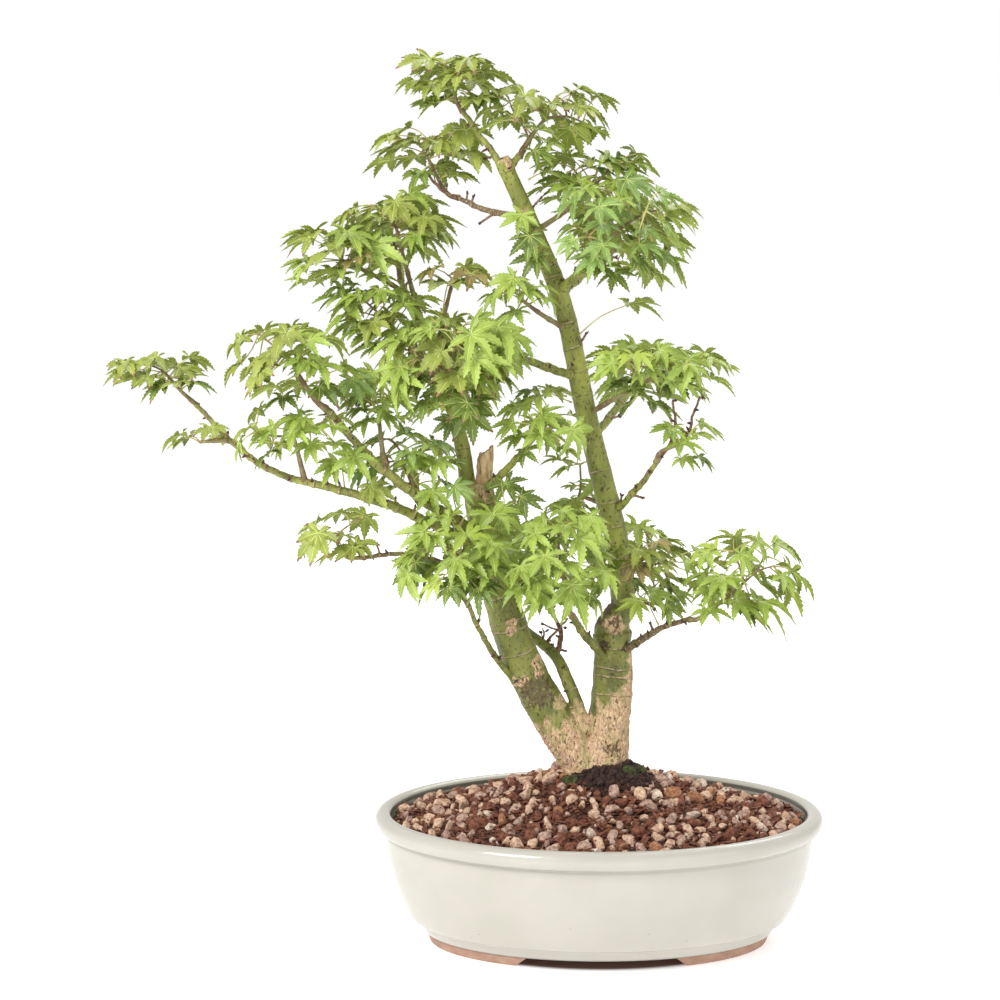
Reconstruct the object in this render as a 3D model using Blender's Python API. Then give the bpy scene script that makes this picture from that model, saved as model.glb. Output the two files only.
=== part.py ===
"""A Japanese maple grown as a bonsai in an oval glazed pot.

Metres, +Z up, front towards -Y. The tree is laid out round the middle of the pot, and an empty then
moves the whole so that the origin is on the ground under the middle of its box.
"""

import math
import random

import bmesh
import bpy
from mathutils import Matrix, Vector
from mathutils.bvhtree import BVHTree

# Driving sizes
MM = 0.001
GAP = 0.3 * MM
POT_HALF_LENGTH = 177 * MM
POT_HALF_DEPTH = 138 * MM
POT_HEIGHT = 108 * MM
FOOT_HEIGHT = 10 * MM
FLOOR_HEIGHT = 18 * MM
SOIL_EDGE_HEIGHT = 96 * MM
SOIL_TOP_HEIGHT = 125 * MM
TRUNK_FOOT = Vector((1, 32, 0)) * MM

# Leaf outline: which way each lobe points and how long it is, as a share of the leaf's reach
LEAF_REACH = 33 * MM
LEAF_THICKNESS = 1.8 * MM
LOBE_ANGLES = (-108, -54, 0, 54, 108)
LOBE_SHARES = (0.55, 0.87, 1.0, 0.87, 0.55)
NOTCH_SHARE = 0.44
BASE_ANGLE = 160
BASE_SHARE = 0.1
LEAF_DROOP = 0.24
STALK_HALF_WIDTH = 0.95 * MM
STALK_FOOT_SHARE = 0.5

# Twigs: how thick the first stem is, how each one tapers and how much thinner its children are
STEM_RADIUS = 2.6 * MM
LEAST_TWIG = 1.2 * MM
TWIG_TAPER = 0.85
CHILD_SHARE = 0.72
STEM_STRAIGHT = 7 * MM

# Sides round the pot, the limbs (4 and 2 more for each step of roundness) and the twigs
OVAL_SIDES = 40
STEM_ROUNDNESS = 3
BOUGH_ROUNDNESS = 1
TWIG_SIDES = 3
POT_CREASE = math.radians(40)
LIMB_CREASE = math.radians(50)

# The pot's rim roll and wall, as insets from the outermost oval
RIM_INSET = 7 * MM
RIM_RISE = 13 * MM
WALL_TOP_INSET = 8 * MM
WALL_DRAW_IN = 25 * MM
FOOT_OUTER_INSET = 37 * MM
FOOT_INNER_INSET = 55 * MM
FOOT_CUT_TOP = 55 * MM
FOOT_CUT_BOTTOM = 66 * MM
FOOT_DRAFT = 1.5 * MM
INNER_WALL = [(15 * MM, 90 * MM), (22 * MM, 50 * MM), (44 * MM, FLOOR_HEIGHT)]
SOIL_EDGE_INSET = 16 * MM
TRUNK_SEAT = (36 * MM, 31 * MM)
MOUND_POWER = 1.25
SOIL_STEPS = 7
SOIL_LUMP = 2.6 * MM
SOIL_DIP = 1.6 * MM

# Limbs in millimetres round the pot's middle: guide points, half thickness at both ends, and what
# they grow out of. The two stems start inside the trunk and leave it partway along their routes.
LIMBS = {
    "left_stem": {
        "guides": [(-3, 31, 104), (-12, 30, 135), (-31, 29, 164), (-54, 26, 205),
                   (-71, 24, 248), (-88, 28, 316), (-96, 31, 362)],
        "thick": (17.5, 11.9), "round": STEM_ROUNDNESS, "step": 16, "parents": ["trunk"],
    },
    "right_stem": {
        "guides": [(6, 33, 104), (8, 34, 157), (11, 36, 190), (12, 38, 220), (10, 38, 262)],
        "thick": (18.5, 13.8), "round": STEM_ROUNDNESS, "step": 16, "parents": ["trunk"],
    },
    "right_leader": {
        "guides": [(10, 38, 244), (19, 37, 262), (15, 34, 315), (-7, 38, 410),
                   (-26, 42, 498), (-48, 38, 555), (-77, 34, 615)],
        "thick": (10.2, 6.2), "round": 2, "step": 30, "parents": ["right_stem"],
    },
    "left_leader": {
        "guides": [(-103, 31, 354), (-109, 34, 395), (-129, 46, 460), (-147, 50, 497)],
        "thick": (6.6, 4.2), "round": BOUGH_ROUNDNESS, "step": 20, "parents": ["left_stem"],
    },
    "dead_stub": {
        "guides": [(-91, 30, 354), (-89, 30, 389)],
        "thick": (6.2, 5.2), "round": BOUGH_ROUNDNESS, "step": 20,
        "parents": ["left_stem", "left_leader"],
    },
    "middle_stem": {
        "guides": [(-8, 28, 160), (-25, 30, 204), (-36, 44, 222), (-60, 62, 238), (-82, 82, 254)],
        "thick": (5.6, 3.4), "round": BOUGH_ROUNDNESS, "step": 18,
        "parents": ["trunk", "left_stem", "right_stem"],
    },
    "thin_shoot": {
        "guides": [(-60, 24, 196), (-80, 10, 223), (-95, -6, 252), (-103, -15, 272)],
        "thick": (2.9, 1.8), "round": BOUGH_ROUNDNESS, "step": 24, "parents": ["left_stem"],
    },
    "long_bough": {
        "guides": [(-86, 28, 305), (-134, 5, 334), (-182, -12, 356), (-246, -5, 372),
                   (-283, 5, 393), (-315, 18, 425)],
        "thick": (4.8, 1.9), "round": BOUGH_ROUNDNESS, "step": 22, "parents": ["left_stem"],
    },
    "left_bough": {
        "guides": [(-91, 29, 318), (-132, 0, 348), (-174, -20, 384), (-212, -30, 428)],
        "thick": (5.4, 2.6), "round": BOUGH_ROUNDNESS, "step": 22, "parents": ["left_stem"],
    },
    "low_left_twig": {
        "guides": [(-82, 26, 285), (-146, 0, 308), (-186, -14, 309)],
        "thick": (2.6, 1.7), "round": BOUGH_ROUNDNESS, "step": 30, "parents": ["left_stem"],
    },
    "inner_bough": {
        "guides": [(-95, 30, 352), (-76, 8, 372), (-64, -8, 386)],
        "thick": (3.5, 2.7), "round": BOUGH_ROUNDNESS, "step": 16, "parents": ["left_stem"],
    },
    "apex_left_shoot": {
        "guides": [(-76, 34, 608), (-95, 32, 635), (-108, 30, 652)],
        "thick": (2.8, 1.9), "round": BOUGH_ROUNDNESS, "step": 18, "parents": ["right_leader"],
    },
    "apex_right_shoot": {
        "guides": [(-73, 35, 602), (-62, 42, 617)],
        "thick": (3.1, 2.6), "round": BOUGH_ROUNDNESS, "step": 18,
        "parents": ["right_leader", "apex_left_shoot"],
    },
    "upper_left_bough": {
        "guides": [(-58, 37, 570), (-86, 47, 573), (-112, 58, 584)],
        "thick": (3.0, 2.0), "round": BOUGH_ROUNDNESS, "step": 18, "parents": ["right_leader"],
    },
    "upper_right_bough": {
        "guides": [(-33, 41, 510), (-20, 24, 524), (-12, 10, 535)],
        "thick": (3.7, 3.0), "round": BOUGH_ROUNDNESS, "step": 18, "parents": ["right_leader"],
    },
    "crossing_bough": {
        "guides": [(-14, 40, 442), (-43, 15, 455), (-64, -6, 464)],
        "thick": (3.7, 2.9), "round": BOUGH_ROUNDNESS, "step": 18, "parents": ["right_leader"],
    },
    "right_bough": {
        "guides": [(10, 34, 334), (31, 10, 362), (44, -6, 384)],
        "thick": (3.1, 2.1), "round": BOUGH_ROUNDNESS, "step": 18, "parents": ["right_leader"],
    },
    "low_right_bough": {
        "guides": [(12, 38, 217), (46, 18, 246), (72, 9, 256)],
        "thick": (3.8, 2.0), "round": BOUGH_ROUNDNESS, "step": 18, "parents": ["right_stem"],
    },
    "low_front_bough": {
        "guides": [(11, 37, 212), (-8, 14, 238), (-22, -8, 262)],
        "thick": (3.6, 2.7), "round": BOUGH_ROUNDNESS, "step": 18, "parents": ["right_stem"],
    },
    "back_left_bough": {
        "guides": [(-112, 36, 408), (-122, 74, 424), (-128, 102, 432)],
        "thick": (3.6, 2.6), "round": BOUGH_ROUNDNESS, "step": 20, "parents": ["left_leader"],
    },
    "back_right_bough": {
        "guides": [(-4, 37, 398), (18, 74, 418), (30, 102, 428)],
        "thick": (3.6, 2.6), "round": BOUGH_ROUNDNESS, "step": 20, "parents": ["right_leader"],
    },
    "back_upper_bough": {
        "guides": [(-30, 42, 508), (-8, 70, 526), (8, 92, 536)],
        "thick": (3.4, 2.4), "round": BOUGH_ROUNDNESS, "step": 20, "parents": ["right_leader"],
    },
    "back_top_bough": {
        "guides": [(-137, 48, 477), (-150, 76, 500), (-158, 100, 516)],
        "thick": (3.0, 2.4), "round": BOUGH_ROUNDNESS, "step": 20, "parents": ["left_leader"],
    },
}
LEAVES_TRUNK_AT = {"left_stem": 0.3, "right_stem": 0.44}
FLARE_GUIDES = [(1, 32, 96), (1, 32, 126), (1, 32, 142), (-2, 31, 158)]
FLARE_THICK = (30, 14)
STUMP_CUT_EDGE = Vector((3, 38, 254)) * MM
STUMP_CUT_SLOPE = math.radians(55)

# Leaf masses in millimetres: the limb each grows from and how far along it, the middle and the half
# size of its own space, how many leaves, how far they face outwards, and their size
TIP = 1.0
MASSES = {
    "leaves_far_left": ("long_bough", TIP, (-342, 20, 448), (56, 40, 25), 6, 0.2, 1.05),
    "leaves_far_left_low": ("long_bough", 0.86, (-312, 10, 396), (38, 32, 24), 2, 0.3, 0.95),
    "leaves_outer_left": ("left_bough", TIP, (-236, -32, 462), (60, 50, 40), 12, 0.5, 1.0),
    "leaves_outer_left_low": ("long_bough", 0.6, (-236, -26, 405), (58, 40, 28), 8, 0.7, 0.85),
    "leaves_top_left": ("left_leader", TIP, (-205, 30, 535), (58, 50, 34), 11, 0.3, 1.05),
    "leaves_top_inner": ("left_leader", 0.86, (-160, 62, 560), (60, 46, 32), 10, 0.5, 1.0),
    "leaves_mid_left": ("left_leader", 0.5, (-168, 26, 490), (60, 46, 34), 11, 0.5, 1.0),
    "leaves_mid_front": ("crossing_bough", TIP, (-118, -52, 458), (64, 50, 48), 17, 0.9, 1.05),
    "leaves_inner_left": ("left_bough", 0.4, (-152, 24, 376), (48, 42, 34), 8, 0.5, 0.9),
    "leaves_inner_upper": ("left_bough", 0.6, (-172, 2, 420), (42, 36, 22), 6, 0.5, 0.9),
    "leaves_low_left": ("low_left_twig", TIP, (-208, -20, 328), (38, 34, 28), 3, 0.3, 1.0),
    "leaves_inner_front": ("inner_bough", TIP, (-44, -36, 408), (42, 38, 34), 7, 0.8, 0.9),
    "leaves_low_front": ("thin_shoot", TIP, (-109, -40, 314), (54, 44, 46), 14, 0.9, 1.0),
    "leaves_low_middle": ("low_front_bough", TIP, (-32, -46, 308), (52, 46, 50), 14, 0.9, 1.05),
    "leaves_stump_front": ("right_leader", 0.12, (24, -8, 303), (42, 28, 28), 5, 0.8, 0.9),
    "leaves_behind_leader": ("right_leader", 0.26, (-14, 88, 342), (34, 36, 42), 5, 0.6, 0.9),
    "leaves_upper_left": ("upper_left_bough", TIP, (-140, 62, 610), (60, 48, 35), 10, 0.3, 1.0),
    "leaves_apex_left": ("apex_left_shoot", TIP, (-112, 25, 675), (59, 48, 31), 10, 0.2, 1.1),
    "leaves_apex_right": ("apex_right_shoot", TIP, (-42, 44, 642), (61, 48, 35), 11, 0.35, 1.0),
    "leaves_upper_middle": ("right_leader", 0.84, (-4, 62, 590), (58, 44, 36), 11, 0.5, 1.0),
    "leaves_upper_right": ("upper_right_bough", TIP, (14, -10, 563), (64, 50, 47), 16, 0.8, 1.05),
    "leaves_hanging": ("left_leader", 0.7, (-114, 4, 523), (40, 32, 18), 2, 0.3, 1.1),
    "leaves_inner_top": ("right_leader", 0.62, (-63, 2, 509), (38, 32, 24), 4, 0.6, 0.9),
    "leaves_right": ("right_leader", 0.45, (46, -34, 457), (62, 52, 30), 13, 0.5, 1.05),
    "leaves_right_small": ("right_bough", TIP, (66, -20, 398), (36, 34, 24), 3, 0.4, 0.9),
    "leaves_low_right": ("low_right_bough", TIP, (113, 0, 287), (54, 50, 42), 12, 0.6, 1.05),
    "leaves_stump": ("right_stem", 0.86, (40, 78, 286), (58, 48, 42), 11, 0.5, 0.95),
    "leaves_back_low": ("middle_stem", TIP, (-72, 142, 284), (66, 52, 44), 10, 0.7, 1.1),
    "leaves_back_left": ("back_left_bough", TIP, (-128, 146, 440), (62, 50, 48), 11, 0.7, 1.1),
    "leaves_back_right": ("back_right_bough", TIP, (44, 146, 444), (60, 50, 46), 11, 0.7, 1.1),
    "leaves_back_upper": ("back_upper_bough", TIP, (28, 128, 540), (56, 46, 46), 10, 0.6, 1.1),
    "leaves_back_top": ("back_top_bough", TIP, (-166, 138, 548), (50, 44, 38), 9, 0.5, 1.1),
}
SEED = 7
SPACE_POWER = 3.0

# How leaves are laid out. Lengths are shares of a leaf's reach.
TRIES = 140
CHOICES = 5
SPOT_INSETS = (0.42, 0.42, 0.28)
REACH_RANGE = (0.8, 1.1)
HEAD_BEHIND_MIDDLE = 0.25
LONGEST_STALK = 1.1
SHORTEST_STALK = 0.35
NEW_STALK = 0.45
LEAST_STALK_TURN = 0.15
CLEAR_OF_PARENT = 0.42
CLEARANCE_REACH = 1.04
CLEARANCE_THICKNESS = 1.7

FINISHES = {
    "glaze": ((0.80, 0.80, 0.71), 0.18),
    "bare_clay": ((0.55, 0.31, 0.20), 0.75),
    "grit_soil": ((0.30, 0.24, 0.18), 0.9),
    "green_bark": ((0.20, 0.24, 0.08), 0.55),
    "dead_wood": ((0.36, 0.26, 0.15), 0.8),
    "leaf": ((0.16, 0.34, 0.05), 0.5),
}


def clear_scene():
    for obj in list(bpy.data.objects):
        bpy.data.objects.remove(obj, do_unlink=True)


def finish(name):
    """The Principled material of one finish."""
    material = bpy.data.materials.get(name)
    if material is None:
        colour, roughness = FINISHES[name]
        material = bpy.data.materials.new(name)
        material.use_nodes = True
        shader = material.node_tree.nodes["Principled BSDF"]
        shader.inputs["Base Color"].default_value = (*colour, 1)
        shader.inputs["Roughness"].default_value = roughness
        shader.inputs["Metallic"].default_value = 0
    return material


def mesh_object(name, mesh, collection):
    obj = bpy.data.objects.new(name, mesh)
    collection.objects.link(obj)
    return obj


def mesh_from(bm, name):
    bmesh.ops.recalc_face_normals(bm, faces=bm.faces)
    mesh = bpy.data.meshes.new(name)
    bm.to_mesh(mesh)
    bm.free()
    return mesh


def hide_cutter(obj):
    obj.hide_render = True
    obj.display_type = "WIRE"


def combine(obj, operation, others, helpers):
    """Applies one Boolean of a collection of other objects to this one, by EXACT or else MANIFOLD."""
    group = bpy.data.collections.new("operands")
    helpers.children.link(group)
    for other in others:
        group.objects.link(other)
    before = obj.data
    for solver in ("EXACT", "MANIFOLD"):
        modifier = obj.modifiers.new("combine", "BOOLEAN")
        modifier.operation = operation
        modifier.operand_type = "COLLECTION"
        modifier.collection = group
        modifier.solver = solver
        bpy.context.view_layer.update()
        graph = bpy.context.evaluated_depsgraph_get()
        made = bpy.data.meshes.new_from_object(obj.evaluated_get(graph))
        obj.modifiers.remove(modifier)
        if is_closed(made):
            break
    obj.data = made
    bpy.data.meshes.remove(before)
    bpy.data.collections.remove(group)


def is_closed(mesh):
    bm = bmesh.new()
    bm.from_mesh(mesh)
    closed = len(bm.faces) > 0 and all(edge.is_manifold for edge in bm.edges)
    bm.free()
    return closed


def keep_main_body(mesh):
    """Leaves only the largest closed body: loose scraps and sealed hollows go."""
    bm = bmesh.new()
    bm.from_mesh(mesh)
    bodies = []
    left = set(bm.faces)
    while left:
        body = [left.pop()]
        for face in body:
            for edge in face.edges:
                for neighbour in edge.link_faces:
                    if neighbour in left:
                        left.remove(neighbour)
                        body.append(neighbour)
        bodies.append(body)
    bodies.sort(key=signed_volume, reverse=True)
    loose = [face for body in bodies[1:] for face in body]
    bmesh.ops.delete(bm, geom=loose, context="FACES")
    bm.to_mesh(mesh)
    bm.free()


def signed_volume(faces):
    """The volume that the faces close, from a fan of triangles on each."""
    total = 0
    for face in faces:
        corners = [vertex.co for vertex in face.verts]
        for second, third in zip(corners[1:], corners[2:]):
            total += corners[0].dot(second.cross(third)) / 6
    return total


# Pot, feet and soil
def oval_loft(name, rings):
    """A closed body through ovals, each (half length, half depth, height, middle x, middle y)."""
    bm = bmesh.new()
    loops = []
    for half_x, half_y, height, middle_x, middle_y in rings:
        loop = []
        for i in range(OVAL_SIDES):
            turn = math.tau * i / OVAL_SIDES
            x = middle_x + half_x * math.cos(turn)
            y = middle_y + half_y * math.sin(turn)
            loop.append(bm.verts.new((x, y, height)))
        loops.append(loop)
    for low, high in zip(loops, loops[1:]):
        for i in range(OVAL_SIDES):
            j = (i + 1) % OVAL_SIDES
            bm.faces.new((low[i], low[j], high[j], high[i]))
    bm.faces.new(list(reversed(loops[0])))
    bm.faces.new(loops[-1])
    return mesh_from(bm, name)


def pot_oval(inset, height):
    return (POT_HALF_LENGTH - inset, POT_HALF_DEPTH - inset, height, 0, 0)


def outer_wall():
    """Insets and heights from the pot's underside, over the plinth bead and the wall, to the rim."""
    underside = FOOT_HEIGHT
    points = [(36 * MM, underside), (34 * MM, underside + 2.5 * MM), (31 * MM, underside + 5 * MM)]
    low, high = 18 * MM, 80 * MM
    steps = 3
    for i in range(steps + 1):
        height = low + (high - low) * i / steps
        drawn = ((high - height) / (high - underside)) ** 2
        points.append((WALL_TOP_INSET + WALL_DRAW_IN * drawn, height))
    return points


def rim_roll():
    """The rounded rim as part of an ellipse, from its lower outer edge over the top to the inside."""
    middle = POT_HEIGHT - RIM_RISE
    points = []
    for degrees in range(-55, 176, 46):
        turn = math.radians(degrees)
        inset = RIM_INSET - RIM_INSET * math.cos(turn)
        points.append((inset, middle + RIM_RISE * math.sin(turn)))
    return points


def make_pot(collection):
    profile = outer_wall() + rim_roll() + INNER_WALL
    pot = mesh_object("pot", oval_loft("pot", [pot_oval(*p) for p in profile]), collection)
    pot.data.shade_smooth()
    pot.data.set_sharp_from_angle(angle=POT_CREASE)
    pot.data.materials.append(finish("glaze"))


def make_feet(collection, helpers):
    """Two curved feet: an oval ring of bare clay, open at the front and back with slanted ends."""
    top = FOOT_HEIGHT - GAP
    for name, side in (("foot_left", -1), ("foot_right", 1)):
        ring = [pot_oval(FOOT_OUTER_INSET, 0), pot_oval(FOOT_OUTER_INSET - FOOT_DRAFT, top)]
        core = [pot_oval(FOOT_INNER_INSET, -MM), pot_oval(FOOT_INNER_INSET, FOOT_HEIGHT)]
        foot = mesh_object(name, oval_loft(name, ring), collection)
        hole = mesh_object(name + "_hole", oval_loft("hole", core), helpers)
        far = -side * POT_HALF_LENGTH
        edge = [(side * FOOT_CUT_BOTTOM, -MM), (side * FOOT_CUT_TOP, FOOT_HEIGHT)]
        wedge = prism(name + "_end", [(far, -MM), *edge, (far, FOOT_HEIGHT)], POT_HALF_DEPTH)
        end = mesh_object(name + "_end", wedge, helpers)
        combine(foot, "DIFFERENCE", [hole, end], helpers)
        for cutter in (hole, end):
            bpy.data.objects.remove(cutter)
        foot.data.materials.clear()
        foot.data.materials.append(finish("bare_clay"))


def prism(name, outline, half_depth):
    """A flat outline in X and Z, drawn out both ways along Y."""
    bm = bmesh.new()
    front = [bm.verts.new((x, -half_depth, z)) for x, z in outline]
    back = [bm.verts.new((x, half_depth, z)) for x, z in outline]
    bm.faces.new(front)
    bm.faces.new(list(reversed(back)))
    for i in range(len(outline)):
        j = (i + 1) % len(outline)
        bm.faces.new((front[j], front[i], back[i], back[j]))
    return mesh_from(bm, name)


def make_soil(collection):
    """Soil that fills the pot and mounds up, in lumps, to a small flat seat under the trunk."""
    clear = 2 * GAP
    rings = [pot_oval(inset + clear, height) for inset, height in reversed(INNER_WALL)]
    rings[0] = pot_oval(INNER_WALL[-1][0] + clear, FLOOR_HEIGHT + GAP)
    edge = pot_oval(SOIL_EDGE_INSET, SOIL_EDGE_HEIGHT)
    rings.append(edge)
    for i in range(1, SOIL_STEPS + 1):
        share = i / SOIL_STEPS
        half_x = edge[0] + (TRUNK_SEAT[0] - edge[0]) * share
        half_y = edge[1] + (TRUNK_SEAT[1] - edge[1]) * share
        rise = (SOIL_TOP_HEIGHT - SOIL_EDGE_HEIGHT) * share ** MOUND_POWER
        middle = TRUNK_FOOT * share
        rings.append((half_x, half_y, SOIL_EDGE_HEIGHT + rise, middle.x, middle.y))
    soil = mesh_object("soil", oval_loft("soil", rings), collection)
    lumps = random.Random(SEED)
    for vertex in soil.data.vertices:
        if SOIL_EDGE_HEIGHT + MM < vertex.co.z < SOIL_TOP_HEIGHT - MM:
            vertex.co.z += lumps.uniform(-SOIL_DIP, SOIL_LUMP)
    soil.data.materials.append(finish("grit_soil"))


# Trunk and limbs
def smooth_route(guides, step):
    """Points about a step apart on a Catmull-Rom curve through the guides, in metres."""
    places = [Vector(guide) * MM for guide in guides]
    ends = [2 * places[0] - places[1], *places, 2 * places[-1] - places[-2]]
    route = []
    for before, start, stop, after in zip(ends, ends[1:], ends[2:], ends[3:]):
        count = max(1, round((stop - start).length / (step * MM)))
        for i in range(count):
            t = i / count
            route.append(
                0.5 * (2 * start + (stop - before) * t
                       + (2 * before - 5 * start + 4 * stop - after) * t ** 2
                       + (3 * start - before - 3 * stop + after) * t ** 3)
            )
    route.append(places[-1])
    return route


def tapered(count, start, stop):
    return [(start + (stop - start) * i / (count - 1)) * MM for i in range(count)]


def tube(name, points, radii, roundness, collection):
    """A round limb: a curve with a bevel, made a mesh with its caps welded on."""
    curve = bpy.data.curves.new(name, "CURVE")
    curve.dimensions = "3D"
    curve.bevel_depth = 1
    curve.bevel_resolution = roundness
    curve.use_fill_caps = True
    spline = curve.splines.new("POLY")
    spline.points.add(len(points) - 1)
    for spot, place, radius in zip(spline.points, points, radii):
        spot.co = (*place, 1)
        spot.radius = radius
    drawn = bpy.data.objects.new(name, curve)
    collection.objects.link(drawn)
    bpy.context.view_layer.update()
    graph = bpy.context.evaluated_depsgraph_get()
    mesh = bpy.data.meshes.new_from_object(drawn.evaluated_get(graph))
    bpy.data.objects.remove(drawn)
    bpy.data.curves.remove(curve)
    bm = bmesh.new()
    bm.from_mesh(mesh)
    bmesh.ops.remove_doubles(bm, verts=bm.verts, dist=0.001 * MM)
    bmesh.ops.recalc_face_normals(bm, faces=bm.faces)
    bm.to_mesh(mesh)
    bm.free()
    mesh.name = name
    return mesh_object(name, mesh, collection)


def lengthened(points, amount):
    """The same route with both ends moved outwards."""
    start = points[0] + (points[0] - points[1]).normalized() * amount
    stop = points[-1] + (points[-1] - points[-2]).normalized() * amount
    return [start, *points[1:-1], stop]


def split_route(points, radii, share):
    """Cuts a route in the middle of one of its spans, with a gap between the two cut ends."""
    i = round((len(points) - 1) * share)
    along = (points[i + 1] - points[i]).normalized()
    middle = (points[i] + points[i + 1]) / 2
    radius = (radii[i] + radii[i + 1]) / 2
    low = (points[:i + 1] + [middle], radii[:i + 1] + [radius])
    high = ([middle + along * GAP] + points[i + 1:], [radius] + radii[i + 1:])
    return low, high


class Tree:
    """Everything that has been placed: the limbs' routes, and the faces that leaves keep off."""

    def __init__(self, collection, helpers):
        self.collection = collection
        self.helpers = helpers
        self.routes = {}
        self.clearances = {}
        self.limb_faces = Soup()

    def add_limb(self, name, points, radii, roundness):
        limb = tube(name, points, radii, roundness, self.collection)
        self.routes[name] = (points, radii)
        self.clearances.setdefault(name, []).append((points, radii, roundness))
        return limb

    def clearance_tubes(self, names):
        """Copies of the named limbs, larger by the gap all round, to cut their neighbours with."""
        cutters = []
        for name in names:
            for points, radii, roundness in self.clearances[name]:
                sides = 4 + 2 * roundness
                more = GAP / math.cos(math.pi / sides)
                grown = [radius + more for radius in radii]
                longer = lengthened(points, GAP)
                cutter = tube(name + "_clearance", longer, grown, roundness, self.helpers)
                hide_cutter(cutter)
                cutters.append(cutter)
        return cutters

    def cut_clear(self, obj, names):
        cutters = self.clearance_tubes(names)
        combine(obj, "DIFFERENCE", cutters, self.helpers)
        for cutter in cutters:
            bpy.data.objects.remove(cutter)
        keep_main_body(obj.data)


class Soup:
    """Triangles gathered from many meshes, to test a new piece against."""

    def __init__(self):
        self.points = []
        self.faces = []
        self.tree = None

    def add(self, points, faces):
        first = len(self.points)
        self.points.extend(points)
        self.faces.extend([tuple(first + i for i in face) for face in faces])
        self.tree = None

    def add_mesh(self, mesh):
        mesh.calc_loop_triangles()
        faces = [tuple(triangle.vertices) for triangle in mesh.loop_triangles]
        self.add([vertex.co.copy() for vertex in mesh.vertices], faces)

    def hits(self, points, faces):
        if not self.faces:
            return False
        if self.tree is None:
            self.tree = BVHTree.FromPolygons(self.points, self.faces)
        return bool(self.tree.overlap(BVHTree.FromPolygons(points, faces)))


def cut_box(name, middle, turn, size, helpers):
    bm = bmesh.new()
    bmesh.ops.create_cube(bm, size=size)
    obj = mesh_object(name, mesh_from(bm, name), helpers)
    obj.location = middle
    obj.rotation_euler = turn
    hide_cutter(obj)
    return obj


def make_trunk(tree, lower_parts):
    """The flare and the feet of both stems in one piece, from a flat cut at the soil to the fork."""
    flare = smooth_route(FLARE_GUIDES, 12)
    trunk = tree.add_limb("trunk", flare, tapered(len(flare), *FLARE_THICK), STEM_ROUNDNESS)
    legs = []
    for points, radii in lower_parts:
        legs.append(tube("leg", points, radii, STEM_ROUNDNESS, tree.helpers))
        tree.clearances["trunk"].append((points, radii, STEM_ROUNDNESS))
    combine(trunk, "UNION", legs, tree.helpers)
    for leg in legs:
        bpy.data.objects.remove(leg)
    size = 200 * MM
    below = TRUNK_FOOT + Vector((0, 0, SOIL_TOP_HEIGHT + GAP - size / 2))
    box = cut_box("ground_cut", below, (0, 0, 0), size, tree.helpers)
    combine(trunk, "DIFFERENCE", [box], tree.helpers)
    bpy.data.objects.remove(box)
    keep_main_body(trunk.data)
    trunk.data.shade_smooth()
    trunk.data.set_sharp_from_angle(angle=LIMB_CREASE)


def make_limbs(tree):
    upper_parts = {}
    lower_parts = []
    for name, share in LEAVES_TRUNK_AT.items():
        limb = LIMBS[name]
        points = smooth_route(limb["guides"], limb["step"])
        radii = tapered(len(points), *limb["thick"])
        low, high = split_route(points, radii, share)
        lower_parts.append(low)
        upper_parts[name] = high
    make_trunk(tree, lower_parts)
    for name, limb in LIMBS.items():
        if name in upper_parts:
            points, radii = upper_parts[name]
            made = tree.add_limb(name, points, radii, limb["round"])
        else:
            points = smooth_route(limb["guides"], limb["step"])
            radii = tapered(len(points), *limb["thick"])
            made = tree.add_limb(name, points, radii, limb["round"])
            tree.cut_clear(made, limb["parents"])
        made.data.shade_smooth()
        made.data.set_sharp_from_angle(angle=LIMB_CREASE)
    cut_stump(tree)
    for obj in tree.collection.objects:
        if obj.name in LIMBS or obj.name == "trunk":
            obj.data.materials.clear()
            bark = "dead_wood" if obj.name == "dead_stub" else "green_bark"
            obj.data.materials.append(finish(bark))
            tree.limb_faces.add_mesh(obj.data)


def cut_stump(tree):
    """The old slanting saw cut on the left of the right stem's top."""
    stump = bpy.data.objects["right_stem"]
    size = 60 * MM
    outward = Vector((-math.sin(STUMP_CUT_SLOPE), 0, math.cos(STUMP_CUT_SLOPE)))
    middle = STUMP_CUT_EDGE + outward * size / 2
    box = cut_box("stump_cut", middle, (0, -STUMP_CUT_SLOPE, 0), size, tree.helpers)
    combine(stump, "DIFFERENCE", [box], tree.helpers)
    bpy.data.objects.remove(box)
    keep_main_body(stump.data)


# Twigs and leaves
def twig_piece(start, stop, start_radius, stop_radius):
    """Points and faces of one straight three-sided twig, closed at both ends."""
    along = stop - start
    bm = bmesh.new()
    turn = along.to_track_quat("Z", "Y").to_matrix().to_4x4()
    place = Matrix.Translation((start + stop) / 2) @ turn
    bmesh.ops.create_cone(
        bm, cap_ends=True, segments=TWIG_SIDES, radius1=start_radius, radius2=stop_radius,
        depth=along.length, matrix=place,
    )
    points = [vertex.co.copy() for vertex in bm.verts]
    bm.verts.index_update()
    faces = [tuple(vertex.index for vertex in face.verts) for face in bm.faces]
    bm.free()
    return points, faces


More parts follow.
